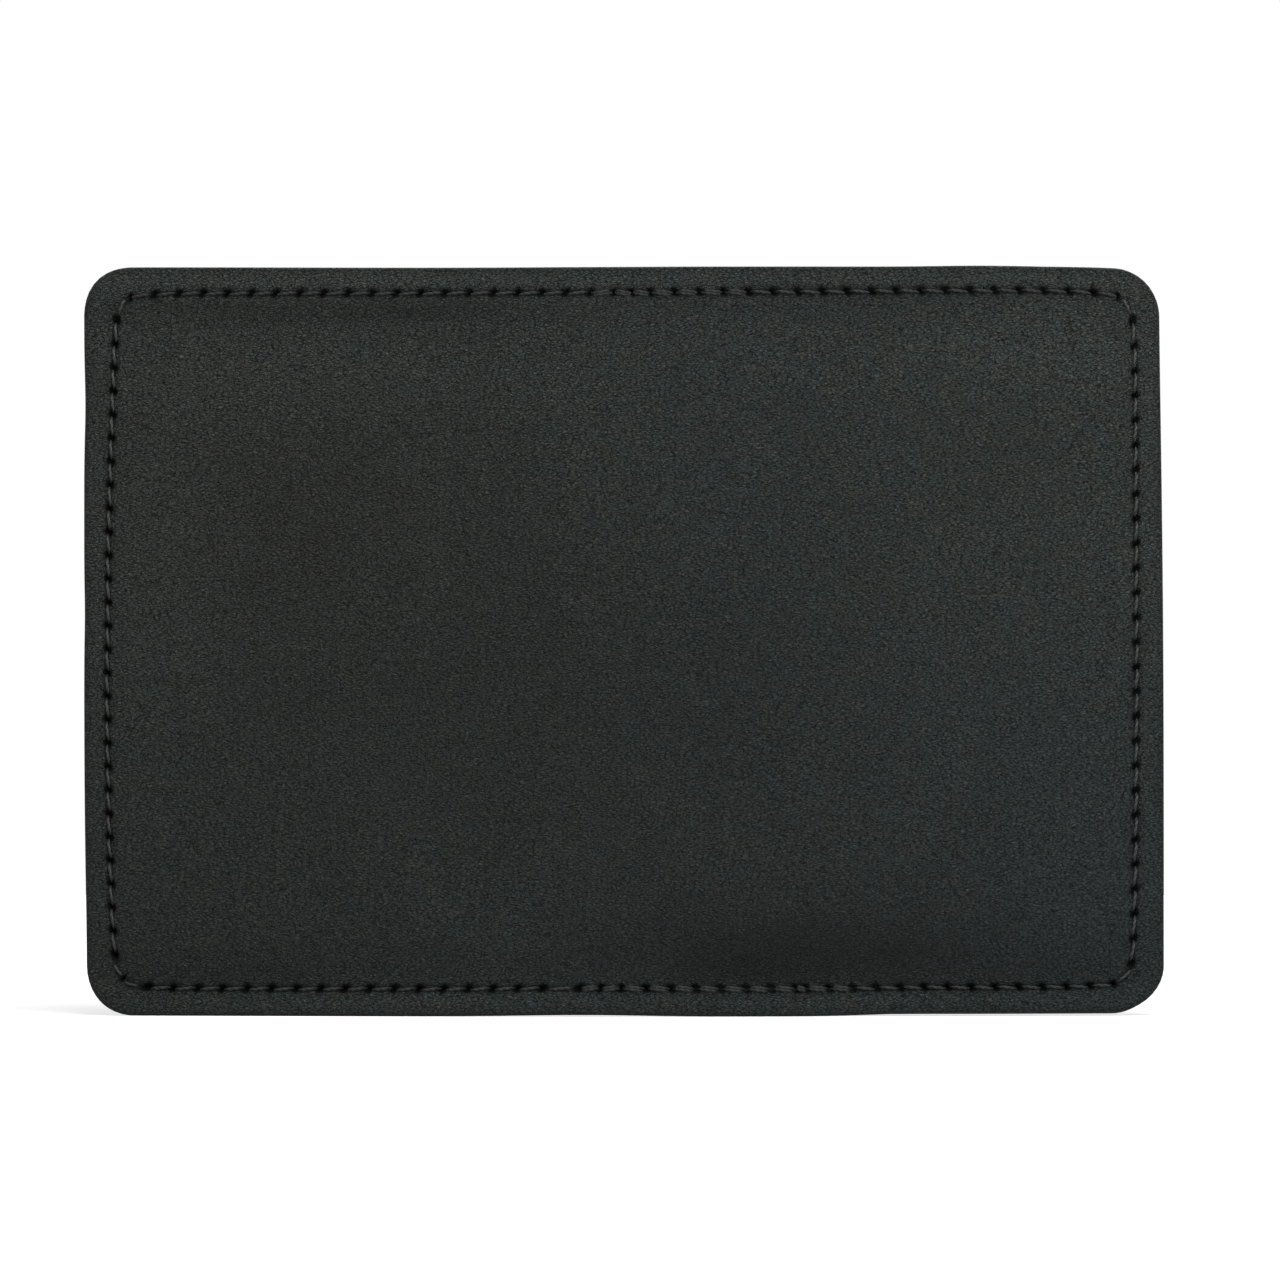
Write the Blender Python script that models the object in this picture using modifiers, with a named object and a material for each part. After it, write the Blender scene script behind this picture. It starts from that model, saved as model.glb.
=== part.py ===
"""Money clip wallet, opened like a book and standing on its bottom edge.

Metres, +Z up. The outer leather faces -Y, the pockets and the clip face +Y, and +X is to the
right seen from the outside. The origin is the middle of the bounding box's bottom face.

The wallet folds on two upright lines, one at each side of the spine. Each half is drawn in the
frame of its own fold line: u runs from the fold to the free edge, w from the outside of the
leather inwards, and z up. A half is swung back a few degrees, so that the wallet stands.
"""

import math

import bmesh
import bpy
from mathutils import Matrix, Vector

MM = 0.001

# Overall sizes
WALLET_HEIGHT = 108.0 * MM
HALF_WIDTH = 70.0 * MM
SPINE_WIDTH = 16.5 * MM
CORNER_RADIUS = 7.2 * MM
SWEEP_ANGLE = math.radians(6.0)

# Leather, board and lining
LEATHER_THICKNESS = 1.0 * MM
HEM_THICKNESS = 0.6 * MM
HEM_WIDTH = 8.0 * MM
LEATHER_EDGE_ROUND = 0.45 * MM
LEAST_CORNER_RADIUS = 0.3 * MM
BOARD_THICKNESS = 0.4 * MM
LINING_THICKNESS = 0.4 * MM
POCKET_THICKNESS = 0.5 * MM
PLY_INSET = 0.5 * MM
PLY_GAP = 0.1 * MM
FOLD_CLEARANCE = 0.15 * MM

# Pockets from rear to front: the name, how far the mouth lies from the fold, and whether the ply
# reaches the free edge or is a strip with a narrower tail
LEFT_POCKETS = (
    ("left_card_pocket_rear", 4.0 * MM, False),
    ("left_card_pocket_middle", 14.0 * MM, False),
    ("left_card_pocket_front", 24.0 * MM, True),
)
RIGHT_POCKETS = (
    ("right_slip_pocket", 4.0 * MM, True),
    ("right_card_pocket_rear", 16.0 * MM, False),
    ("right_card_pocket_front", 27.0 * MM, True),
)
STRIP_OVERLAP = 4.0 * MM
CARD_SLOT_WIDTH = 89.0 * MM
CARD_DEPTH = 48.0 * MM

# Stitching
STITCH_INSET = 3.9 * MM
THREAD_RADIUS = 0.2 * MM
STITCH_GROOVE_WIDTH = 0.8 * MM
STITCH_GROOVE_DEPTH = 0.5 * MM
THREAD_CLEARANCE = 0.05 * MM
THREAD_RAMP = 0.8 * MM

# Money clip
CLIP_LENGTH = 74.0 * MM
CLIP_WIDTH = 6.4 * MM
CLIP_BASE_THICKNESS = 0.6 * MM
CLIP_CORNER_RADIUS = 1.2 * MM
ANCHOR_LENGTH = 60.0 * MM
ANCHOR_WIDTH = 7.0 * MM
ANCHOR_THICKNESS = 0.4 * MM
ANCHOR_CORNER_RADIUS = 1.5 * MM
EAR_THICKNESS = 0.6 * MM
EAR_LENGTH = 6.0 * MM
EAR_TOP_MARGIN = 1.5 * MM
PIN_RADIUS = 0.75 * MM
PIN_RISE = 1.85 * MM
PIN_END_PROUD = 0.15 * MM
RUNNING_CLEARANCE = 0.06 * MM
CHEEK_THICKNESS = 0.7 * MM
CHEEK_RADIUS = 1.45 * MM
EAR_CHEEK_GAP = 0.4 * MM
ARM_WIDTH = 6.0 * MM
ARM_THICKNESS = 0.8 * MM
ARM_LENGTH = 69.0 * MM
ARM_LIFT = 0.85 * MM
GRIP_DROP = 0.5 * MM
GRIP_FROM_TIP = 11.0 * MM
LIP_RISE = 2.2 * MM
NECK_LENGTH = 4.4 * MM
SHOULDER_LENGTH = 0.6 * MM
ARM_BACK_GAP = 0.2 * MM
TIP_NARROWING = 0.85
RIVET_RADIUS = 0.8 * MM
RIVET_HEAD_RADIUS = 1.7 * MM
RIVET_HEAD_HEIGHT = 0.5 * MM
RIVET_TAIL_HEIGHT = 0.3 * MM
RIVET_PITCH = 33.0 * MM
UPPER_RIVET_FROM_PIN = 12.0 * MM
RIVET_CLEARANCE = 0.1 * MM
SPRING_WIRE_RADIUS = 0.2 * MM
SPRING_COIL_RADIUS = 1.1 * MM
SPRING_PITCH = 0.85 * MM
SPRING_TURNS = 2.5
SPRING_LEG = 9.0 * MM

# How finely round shapes are drawn
CORNER_STEPS = 8
RING_STEPS = 24
COIL_STEPS = 12
EDGE_ROUND_STEPS = 3
DOME_STEPS = 5
ARM_STEPS = 20
TIP_STEPS = 6
SHARP_ANGLE = math.radians(35)
MERGE_DISTANCE = 0.01 * MM
CUT_OVERRUN = 1.0 * MM
JOIN_OVERLAP = 0.1 * MM

HALF_SPINE = SPINE_WIDTH / 2
COVER_DEPTH = LEATHER_THICKNESS + HEM_THICKNESS
LINING_OUTER = COVER_DEPTH + PLY_GAP
LINING_INNER = LINING_OUTER + LINING_THICKNESS
PLY_PITCH = POCKET_THICKNESS + PLY_GAP

# Depths of the clip's parts on the spine
TAIL_OUTER = LEATHER_THICKNESS + PLY_GAP
ANCHOR_OUTER = TAIL_OUTER + RIVET_TAIL_HEIGHT + PLY_GAP
ANCHOR_INNER = ANCHOR_OUTER + ANCHOR_THICKNESS
SPINE_LINING_OUTER = ANCHOR_INNER + PLY_GAP
SPINE_LINING_INNER = SPINE_LINING_OUTER + LINING_THICKNESS
BASE_OUTER = SPINE_LINING_INNER + PLY_GAP
BASE_INNER = BASE_OUTER + CLIP_BASE_THICKNESS
PIN_DEPTH = BASE_INNER + PIN_RISE
CLIP_BOTTOM = (WALLET_HEIGHT - CLIP_LENGTH) / 2
CLIP_TOP = CLIP_BOTTOM + CLIP_LENGTH
PIN_HEIGHT = CLIP_TOP - EAR_LENGTH / 2

LEATHER = ("black_leather", (0.026, 0.028, 0.027, 1.0), 0.55, 0.0)
POCKET_LEATHER = ("pocket_leather", (0.03, 0.031, 0.03, 1.0), 0.6, 0.0)
LINING = ("lining_cloth", (0.035, 0.036, 0.038, 1.0), 0.85, 0.0)
BOARD = ("fibre_board", (0.16, 0.13, 0.1, 1.0), 0.9, 0.0)
THREAD = ("black_thread", (0.02, 0.02, 0.021, 1.0), 0.5, 0.0)
NICKEL = ("nickel_plate", (0.72, 0.71, 0.69, 1.0), 0.22, 1.0)
SPRING_STEEL = ("spring_steel", (0.45, 0.45, 0.46, 1.0), 0.35, 1.0)


def clear_scene():
    for obj in list(bpy.data.objects):
        bpy.data.objects.remove(obj, do_unlink=True)


def new_collection(name, parent):
    made = bpy.data.collections.new(name)
    parent.children.link(made)
    return made


def material(finish):
    """A Principled material for the finish, made once and then shared by name."""
    name, colour, roughness, metallic = finish
    made = bpy.data.materials.get(name)
    if made:
        return made
    made = bpy.data.materials.new(name)
    made.use_nodes = True
    shader = made.node_tree.nodes["Principled BSDF"]
    shader.inputs["Base Color"].default_value = colour
    shader.inputs["Roughness"].default_value = roughness
    shader.inputs["Metallic"].default_value = metallic
    made.diffuse_color = colour
    return made


def add_object(name, data, finish, parent):
    obj = bpy.data.objects.new(name, data)
    parts.objects.link(obj)
    data.materials.append(material(finish))
    obj.parent = parent
    return obj


def add_empty(name, parent, location=(0, 0, 0), turn=0.0):
    obj = bpy.data.objects.new(name, None)
    parts.objects.link(obj)
    obj.parent = parent
    obj.location = location
    obj.rotation_euler = (0.0, 0.0, turn)
    return obj


def arc(centre, radius, start, end, steps):
    """Points from angle start to end, in degrees, about a centre in the plane."""
    angles = [math.radians(start + (end - start) * i / steps) for i in range(steps + 1)]
    return [(centre[0] + radius * math.cos(a), centre[1] + radius * math.sin(a)) for a in angles]


def open_edge_path(inner_u, inset):
    """The path from the fold round a half's free edge and back, at a distance from that edge.

    The corners share a centre with the leather's own corners, so the band between two such
    paths has one width all the way.
    """
    radius = max(CORNER_RADIUS - inset, LEAST_CORNER_RADIUS)
    outer = HALF_WIDTH - inset
    bottom = inset
    top = WALLET_HEIGHT - inset
    path = [(inner_u, bottom)]
    path += arc((outer - radius, bottom + radius), radius, -90, 0, CORNER_STEPS)
    path += arc((outer - radius, top - radius), radius, 0, 90, CORNER_STEPS)
    path.append((inner_u, top))
    return path


def t_outline(mouth, strip_end, tail_end):
    """A pocket ply: a strip over the full height at the mouth and a narrower tail behind it."""
    bottom = PLY_INSET
    top = WALLET_HEIGHT - PLY_INSET
    tail_bottom = (WALLET_HEIGHT - CARD_SLOT_WIDTH) / 2
    tail_top = WALLET_HEIGHT - tail_bottom
    return [
        (mouth, bottom),
        (strip_end, bottom),
        (strip_end, tail_bottom),
        (tail_end, tail_bottom),
        (tail_end, tail_top),
        (strip_end, tail_top),
        (strip_end, top),
        (mouth, top),
    ]


def box_outline(half_width, bottom, top, radius=0.0):
    """An upright rectangle about the spine's middle, with round corners if a radius is given."""
    if not radius:
        return [(-half_width, bottom), (half_width, bottom), (half_width, top), (-half_width, top)]
    near = half_width - radius
    return (
        arc((near, bottom + radius), radius, -90, 0, CORNER_STEPS)
        + arc((near, top - radius), radius, 0, 90, CORNER_STEPS)
        + arc((-near, top - radius), radius, 90, 180, CORNER_STEPS)
        + arc((-near, bottom + radius), radius, 180, 270, CORNER_STEPS)
    )


def extruded(outline, outer, inner, side=1):
    """A bmesh plate: the outline in u and z, from depth outer to depth inner."""
    mesh = bmesh.new()
    face = mesh.faces.new([mesh.verts.new((side * u, outer, z)) for u, z in outline])
    grown = bmesh.ops.extrude_face_region(mesh, geom=[face])["geom"]
    lifted = [item for item in grown if isinstance(item, bmesh.types.BMVert)]
    bmesh.ops.translate(mesh, verts=lifted, vec=(0, inner - outer, 0))
    bmesh.ops.recalc_face_normals(mesh, faces=mesh.faces)
    return mesh


def mitre_fold(mesh, fold_u, inwards):
    """Slides the fold's inner corner back by its depth, so that the joint closes to a mitre."""
    for vert in mesh.verts:
        if abs(abs(vert.co.x) - fold_u) < PLY_GAP:
            vert.co.x = math.copysign(fold_u + inwards * vert.co.y, vert.co.x)


def round_outside(mesh, fold_u, width):
    """Rounds the rim of the outer face, apart from the edges that lie along a fold."""
    rim = []
    for edge in mesh.edges:
        on_face = all(abs(vert.co.y) < PLY_GAP for vert in edge.verts)
        on_fold = all(abs(abs(vert.co.x) - fold_u) < PLY_GAP for vert in edge.verts)
        if on_face and not on_fold:
            rim.append(edge)
    bmesh.ops.bevel(
        mesh, geom=rim, offset=width, segments=EDGE_ROUND_STEPS, profile=0.5, affect="EDGES"
    )


def finished_mesh(name, mesh):
    """Turns a bmesh into mesh data that is smooth but for its real corners."""
    data = bpy.data.meshes.new(name)
    mesh.to_mesh(data)
    mesh.free()
    data.shade_smooth()
    data.set_sharp_from_angle(angle=SHARP_ANGLE)
    return data


def add_plate(name, outline, outer, inner, finish, parent, side=1):
    mesh = extruded(outline, outer, inner, side)
    return add_object(name, finished_mesh(name, mesh), finish, parent)


def add_cutter(name, data, parent):
    obj = bpy.data.objects.new(name, data)
    cutters.objects.link(obj)
    obj.parent = parent
    obj.hide_render = True
    obj.display_type = "WIRE"
    return obj


def cut(obj, cutter, operation="DIFFERENCE"):
    modifier = obj.modifiers.new(cutter.name, "BOOLEAN")
    modifier.operation = operation
    modifier.solver = "EXACT"
    modifier.object = cutter


def plate_cutter(name, outline, outer, inner, parent, side=1):
    return add_cutter(name, finished_mesh(name, extruded(outline, outer, inner, side)), parent)


def cylinder_mesh(name, radius, start, end, axis):
    """A cylinder from start to end along the axis, 0 for x and 1 for the depth."""
    mesh = bmesh.new()
    bmesh.ops.create_cone(
        mesh, cap_ends=True, segments=RING_STEPS, radius1=radius, radius2=radius, depth=end - start
    )
    turn = Matrix.Rotation(math.radians(90), 4, "Y" if axis == 0 else "X")
    bmesh.ops.transform(mesh, matrix=turn, verts=mesh.verts)
    shift = Vector((0.0, 0.0, 0.0))
    shift[axis] = (start + end) / 2
    bmesh.ops.translate(mesh, verts=mesh.verts, vec=shift)
    bmesh.ops.recalc_face_normals(mesh, faces=mesh.faces)
    return finished_mesh(name, mesh)


def add_thread(name, path, finish, parent, radius=THREAD_RADIUS, resolution=1):
    """A tube with closed ends along a list of points."""
    data = bpy.data.curves.new(name, "CURVE")
    data.dimensions = "3D"
    data.bevel_depth = radius
    data.bevel_resolution = resolution
    data.use_fill_caps = True
    spline = data.splines.new("POLY")
    spline.points.add(len(path) - 1)
    for point, place in zip(spline.points, path):
        point.co = (*place, 1.0)
    return add_object(name, data, finish, parent)


def fold_start(depth):
    """How far from the fold a ply may begin, so that it clears the spine when folded square."""
    return depth + FOLD_CLEARANCE


def groove_outline(inner_u):
    """The band of the stitching groove: out along one path and back along the other."""
    half = STITCH_GROOVE_WIDTH / 2
    outside = open_edge_path(inner_u, STITCH_INSET - half)
    inside = open_edge_path(inner_u, STITCH_INSET + half)
    return outside + inside[::-1]


def make_half_cover(name, side, parent):
    """One half of the outer leather: turned hem, recess for the board and stitching groove."""
    fold_u = FOLD_CLEARANCE
    outline = open_edge_path(fold_u, 0.0)
    mesh = extruded(outline, 0.0, COVER_DEPTH, side)
    round_outside(mesh, fold_u, LEATHER_EDGE_ROUND)
    mitre_fold(mesh, fold_u, 1)
    cover = add_object(name, finished_mesh(name, mesh), LEATHER, parent)
    recess = open_edge_path(-CUT_OVERRUN, HEM_WIDTH)
    depth = COVER_DEPTH + CUT_OVERRUN
    cut(cover, plate_cutter(name + "_recess", recess, LEATHER_THICKNESS, depth, parent, side))
    groove = groove_outline(-CUT_OVERRUN)
    cut(cover, plate_cutter(name + "_groove", groove, -CUT_OVERRUN, STITCH_GROOVE_DEPTH, parent, side))
    return cover


def make_spine_cover(parent):
    """The strip of outer leather between the folds, with its hems and two stitching grooves."""
    name = "spine_outer_leather"
    half = HALF_SPINE - FOLD_CLEARANCE
    mesh = extruded(box_outline(half, 0.0, WALLET_HEIGHT), 0.0, COVER_DEPTH)
    round_outside(mesh, half, LEATHER_EDGE_ROUND)
    mitre_fold(mesh, half, -1)
    cover = add_object(name, finished_mesh(name, mesh), LEATHER, parent)
    recess = box_outline(HALF_SPINE, HEM_WIDTH, WALLET_HEIGHT - HEM_WIDTH)
    depth = COVER_DEPTH + CUT_OVERRUN
    cut(cover, plate_cutter(name + "_recess", recess, LEATHER_THICKNESS, depth, parent))
    for place, height in stitch_heights().items():
        low = height - STITCH_GROOVE_WIDTH / 2
        band = box_outline(HALF_SPINE, low, low + STITCH_GROOVE_WIDTH)
        cutter = plate_cutter(f"{name}_groove_{place}", band, -CUT_OVERRUN, STITCH_GROOVE_DEPTH, parent)
        cut(cover, cutter)
    return cover


def stitch_heights():
    return {"bottom": STITCH_INSET, "top": WALLET_HEIGHT - STITCH_INSET}


def make_board(name, side, parent):
    """The stiffener that fills the recess between the hems."""
    start = fold_start(LEATHER_THICKNESS + PLY_GAP + BOARD_THICKNESS)
    outline = open_edge_path(start, HEM_WIDTH + PLY_INSET)
    outer = LEATHER_THICKNESS + PLY_GAP
    return add_plate(name, outline, outer, outer + BOARD_THICKNESS, BOARD, parent, side)


def make_half_lining(name, side, parent):
    outline = open_edge_path(fold_start(LINING_INNER), PLY_INSET)
    return add_plate(name, outline, LINING_OUTER, LINING_INNER, LINING, parent, side)


def ply_depth(layer):
    """The outer depth of a pocket ply; layer 0 lies on the lining."""
    return LINING_INNER + PLY_GAP + layer * PLY_PITCH


def make_card_ply(name, layer, mouth, next_mouth, side, parent):
    """A card pocket that another one covers, so that only its strip reaches the edge stitching."""
    outline = t_outline(mouth, next_mouth + STRIP_OVERLAP, mouth + CARD_DEPTH)
    outer = ply_depth(layer)
    return add_plate(name, outline, outer, outer + POCKET_THICKNESS, POCKET_LEATHER, parent, side)


def make_full_ply(name, layer, mouth, side, parent):
    """A pocket ply that reaches the free edge on all three sides."""
    outline = open_edge_path(mouth, PLY_INSET)
    outer = ply_depth(layer)
    return add_plate(name, outline, outer, outer + POCKET_THICKNESS, POCKET_LEATHER, parent, side)


def inner_thread_path(mouths, side):
    """The inside stitching: it climbs a step just before each pocket mouth that it crosses."""
    rise = THREAD_RADIUS + THREAD_CLEARANCE
    depth = LINING_INNER + rise
    top = ply_depth(len(mouths) - 1) + POCKET_THICKNESS + rise
    climb = [(fold_start(depth + rise), depth)]
    for layer, mouth in enumerate(mouths):
        climb.append((mouth - THREAD_RAMP, depth))
        depth = ply_depth(layer) + POCKET_THICKNESS + rise
        climb.append((mouth - THREAD_RADIUS - THREAD_CLEARANCE, depth))
    path = [(side * u, w, STITCH_INSET) for u, w in climb]
    edge = open_edge_path(0.0, STITCH_INSET)[1:-1]
    path += [(side * u, top, z) for u, z in edge]
    path += [(side * u, w, WALLET_HEIGHT - STITCH_INSET) for u, w in reversed(climb)]
    return path


def outer_thread_path(side):
    depth = THREAD_RADIUS + THREAD_CLEARANCE
    edge = open_edge_path(fold_start(depth + THREAD_RADIUS), STITCH_INSET)
    return [(side * u, depth, z) for u, z in edge]


def make_half(label, side, pockets, parent):
    """All the plies and both threads of one half."""
    make_half_cover(f"{label}_outer_leather", side, parent)
    make_board(f"{label}_stiffener_board", side, parent)
    make_half_lining(f"{label}_lining", side, parent)
    mouths = [mouth for name, mouth, reaches_edge in pockets]
    for layer, (name, mouth, reaches_edge) in enumerate(pockets):
        if reaches_edge:
            make_full_ply(name, layer, mouth, side, parent)
        else:
            make_card_ply(name, layer, mouth, mouths[layer + 1], side, parent)
    add_thread(f"{label}_outer_thread", outer_thread_path(side), THREAD, parent)
    add_thread(f"{label}_inner_thread", inner_thread_path(mouths, side), THREAD, parent)


def make_spine_threads(parent):
    outer_depth = THREAD_RADIUS + THREAD_CLEARANCE
    inner_depth = SPINE_LINING_INNER + THREAD_RADIUS + THREAD_CLEARANCE
    for face, depth in (("outer", outer_depth), ("inner", inner_depth)):
        reach = HALF_SPINE - fold_start(depth + THREAD_RADIUS)
        for place, height in stitch_heights().items():
            path = [(-reach, depth, height), (0.0, depth, height), (reach, depth, height)]
            add_thread(f"spine_{face}_thread_{place}", path, THREAD, parent)


def rivet_heights():
    upper = PIN_HEIGHT - UPPER_RIVET_FROM_PIN
    return {"upper": upper, "lower": upper - RIVET_PITCH}


def drill_for_rivets(obj, parent):
    """Two round holes through a spine part, a little wider than the rivets."""
    for place, height in rivet_heights().items():
        name = f"{obj.name}_{place}_hole"
        data = cylinder_mesh(name, RIVET_RADIUS + RIVET_CLEARANCE, 0.0, PIN_DEPTH, 1)
        cutter = add_cutter(name, data, parent)
        cutter.location.z = height
        cut(obj, cutter)


def make_spine_lining(parent):
    half = HALF_SPINE - fold_start(SPINE_LINING_INNER)
    outline = box_outline(half, PLY_INSET, WALLET_HEIGHT - PLY_INSET)
    lining = add_plate("spine_lining", outline, SPINE_LINING_OUTER, SPINE_LINING_INNER, LINING, parent)
    drill_for_rivets(lining, parent)


def make_anchor_plate(parent):
    """The steel strip behind the lining that the clip is riveted to."""
    middle = sum(rivet_heights().values()) / 2
    half = ANCHOR_LENGTH / 2
    outline = box_outline(ANCHOR_WIDTH / 2, middle - half, middle + half, ANCHOR_CORNER_RADIUS)
    plate = add_plate("clip_anchor_plate", outline, ANCHOR_OUTER, ANCHOR_INNER, NICKEL, parent)
    drill_for_rivets(plate, parent)


def ear_outline():
    """The side view of an ear, in height and depth: square below and round above the pin."""
    half = EAR_LENGTH / 2
    top = PIN_DEPTH + EAR_TOP_MARGIN
    radius = EAR_TOP_MARGIN
    upper = arc((PIN_HEIGHT + half - JOIN_OVERLAP - radius, top - radius), radius, 0, 90, CORNER_STEPS)
    lower = arc((PIN_HEIGHT - half + radius, top - radius), radius, 90, 180, CORNER_STEPS)
    low = BASE_OUTER + JOIN_OVERLAP
    return [(PIN_HEIGHT - half, low), (PIN_HEIGHT + half - JOIN_OVERLAP, low)] + upper + lower


def side_plate_mesh(name, outline, near, far):
    """A plate whose outline is given in height and depth, from near to far along x."""
    mesh = bmesh.new()
    face = mesh.faces.new([mesh.verts.new((near, w, z)) for z, w in outline])
    grown = bmesh.ops.extrude_face_region(mesh, geom=[face])["geom"]
    lifted = [item for item in grown if isinstance(item, bmesh.types.BMVert)]
    bmesh.ops.translate(mesh, verts=lifted, vec=(far - near, 0, 0))
    bmesh.ops.recalc_face_normals(mesh, faces=mesh.faces)
    return finished_mesh(name, mesh)


def make_clip_base(parent):
    """The stamped base: a long plate with two ears that hold the hinge pin."""
    outline = box_outline(CLIP_WIDTH / 2, CLIP_BOTTOM, CLIP_TOP, CLIP_CORNER_RADIUS)
    base = add_plate("clip_base", outline, BASE_OUTER, BASE_INNER, NICKEL, parent)
    for place, side in (("left", -1), ("right", 1)):
        name = f"clip_base_{place}_ear"
        far = side * (CLIP_WIDTH / 2 - JOIN_OVERLAP)
        near = far - side * EAR_THICKNESS
        cut(base, add_cutter(name, side_plate_mesh(name, ear_outline(), near, far), parent), "UNION")
    name = "clip_base_pin_hole"
    data = cylinder_mesh(name, PIN_RADIUS + RUNNING_CLEARANCE, -CLIP_WIDTH, CLIP_WIDTH, 0)
    hole = add_cutter(name, data, parent)
    hole.location = (0.0, PIN_DEPTH, PIN_HEIGHT)
    cut(base, hole)
    drill_for_rivets(base, parent)


def make_rivets(parent):
    """Turned rivets: a flat tail behind the anchor plate and a domed head on the clip's base."""
    head_start = BASE_INNER + PLY_GAP
    tail_end = TAIL_OUTER + RIVET_TAIL_HEIGHT
    dome = [
        (RIVET_HEAD_RADIUS * math.cos(angle), head_start + RIVET_HEAD_HEIGHT * math.sin(angle))
        for angle in [math.radians(90 - 90 * i / DOME_STEPS) for i in range(DOME_STEPS + 1)]
    ]
    profile = [(0.0, dome[0][1])] + dome[1:]
    profile += [(RIVET_RADIUS, head_start), (RIVET_RADIUS, tail_end)]
    profile += [(RIVET_HEAD_RADIUS, tail_end), (RIVET_HEAD_RADIUS, TAIL_OUTER), (0.0, TAIL_OUTER)]
    for place, height in rivet_heights().items():
        name = f"clip_rivet_{place}"
        data = bpy.data.meshes.new(name)
        edges = [(i, i + 1) for i in range(len(profile) - 1)]
        data.from_pydata([(radius, w, 0.0) for radius, w in profile], edges, [])
        rivet = add_object(name, data, NICKEL, parent)
        rivet.location.z = height
        screw = rivet.modifiers.new("turned", "SCREW")
        screw.axis = "Y"
        screw.steps = RING_STEPS
        screw.render_steps = RING_STEPS
        screw.use_merge_vertices = True
        screw.merge_threshold = MERGE_DISTANCE
        screw.use_normal_calculate = True
        screw.use_normal_flip = True


def make_pin(parent):
    reach = CLIP_WIDTH / 2 + PIN_END_PROUD
    data = cylinder_mesh("clip_hinge_pin", PIN_RADIUS, -reach, reach, 0)
    pin = add_object("clip_hinge_pin", data, NICKEL, parent)
    pin.location = (0.0, PIN_DEPTH, PIN_HEIGHT)


def arm_rise(distance):
    """The depth of the arm's middle surface from the pin, at a distance along the arm.

    It runs level over the rivets, dips to the grip near the tip and curls out as a thumb lip.
    """
    level = ARM_LIFT + ARM_THICKNESS / 2 - PIN_RISE
    grip = ARM_LENGTH - GRIP_FROM_TIP
    dip = UPPER_RIVET_FROM_PIN + RIVET_PITCH + RIVET_HEAD_RADIUS
    if distance < grip:
        share = max(0.0, (distance - dip) / (grip - dip))
        return level - GRIP_DROP * (1 - math.cos(math.pi * share)) / 2
    share = (distance - grip) / (ARM_LENGTH - grip)
    return level - GRIP_DROP + (GRIP_DROP + LIP_RISE) * share**2


def cheek_outside():
    """How far the cheeks' outer faces lie from the middle: clear of the ears."""
    return CLIP_WIDTH / 2 - JOIN_OVERLAP - EAR_THICKNESS - EAR_CHEEK_GAP


def arm_half_width(distance):
    """Narrow between the ears, full width along the bar and rounded at the tip."""
    if distance <= NECK_LENGTH:
        return cheek_outside() - JOIN_OVERLAP
    near_tip = max(0.0, distance - (ARM_LENGTH - ARM_WIDTH / 2)) / (ARM_WIDTH / 2)
    return ARM_WIDTH / 2 * math.sqrt(max(0.0, 1 - TIP_NARROWING * near_tip**2))


def make_arm(parent):
    """The sprung arm: a bar with a thumb lip, and two cheeks on the hinge pin."""
    neck_start = EAR_LENGTH / 2 + ARM_BACK_GAP
    shoulder = NECK_LENGTH + SHOULDER_LENGTH
    bar_end = ARM_LENGTH - ARM_WIDTH / 2
    stations = [neck_start, NECK_LENGTH, shoulder]
    stations += [shoulder + (bar_end - NECK_LENGTH) * i / ARM_STEPS for i in range(1, ARM_STEPS)]
    stations += [bar_end + ARM_WIDTH / 2 * i / TIP_STEPS for i in range(TIP_STEPS + 1)]
    mesh = bmesh.new()
    rows = []
    for distance in stations:
        half = arm_half_width(distance)
        depth = arm_rise(distance)
        rows.append([mesh.verts.new((x, depth, -distance)) for x in (-half, 0.0, half)])
    for near, far in zip(rows, rows[1:]):
        for i in range(2):
            mesh.faces.new((near[i], near[i + 1], far[i + 1], far[i]))
    bmesh.ops.recalc_face_normals(mesh, faces=mesh.faces)
    arm = add_object("clip_arm", finished_mesh("clip_arm", mesh), NICKEL, parent)
    wall = arm.modifiers.new("wall", "SOLIDIFY")
    wall.thickness = ARM_THICKNESS
    wall.offset = 0.0
    middle = arm_rise(neck_start)
    low = middle - ARM_THICKNESS / 2 + JOIN_OVERLAP
    high = middle + ARM_THICKNESS / 2 - JOIN_OVERLAP
    end = -NECK_LENGTH
    outline = arc((0.0, 0.0), CHEEK_RADIUS, 90, -90, RING_STEPS // 2) + [(end, low), (end, high)]
    for place, side in (("left", -1), ("right", 1)):
        name = f"clip_arm_{place}_cheek"
        outer = side * cheek_outside()
        inner = outer - side * CHEEK_THICKNESS
        cut(arm, add_cutter(name, side_plate_mesh(name, outline, inner, outer), parent), "UNION")
    name = "clip_arm_pin_hole"
    data = cylinder_mesh(name, PIN_RADIUS + RUNNING_CLEARANCE, -CLIP_WIDTH, CLIP_WIDTH, 0)
    cut(arm, add_cutter(name, data, parent))


def spring_path():
    """One leg on the base, the coil round the pin, and one leg on the arm, about the pin's middle.

    The wire comes along the base, winds up through the free side and leaves over the arm.
    """
    reach = SPRING_TURNS * SPRING_PITCH / 2
    rest = SPRING_WIRE_RADIUS + PLY_GAP
    base_leg = -PIN_RISE + rest
    arm_leg = arm_rise(0.0) + ARM_THICKNESS / 2 + rest
    count = round(SPRING_TURNS * COIL_STEPS)
    path = [(-reach, base_leg, -SPRING_LEG), (-reach, base_leg, -SPRING_LEG / 2)]
    for i in range(count + 1):
        angle = 2 * math.pi * SPRING_TURNS * i / count
        x = -reach + 2 * reach * i / count
        path.append((x, -SPRING_COIL_RADIUS * math.cos(angle), SPRING_COIL_RADIUS * math.sin(angle)))
    path += [(reach, arm_leg, -SPRING_LEG / 2), (reach, arm_leg, -SPRING_LEG)]
    return path


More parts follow.
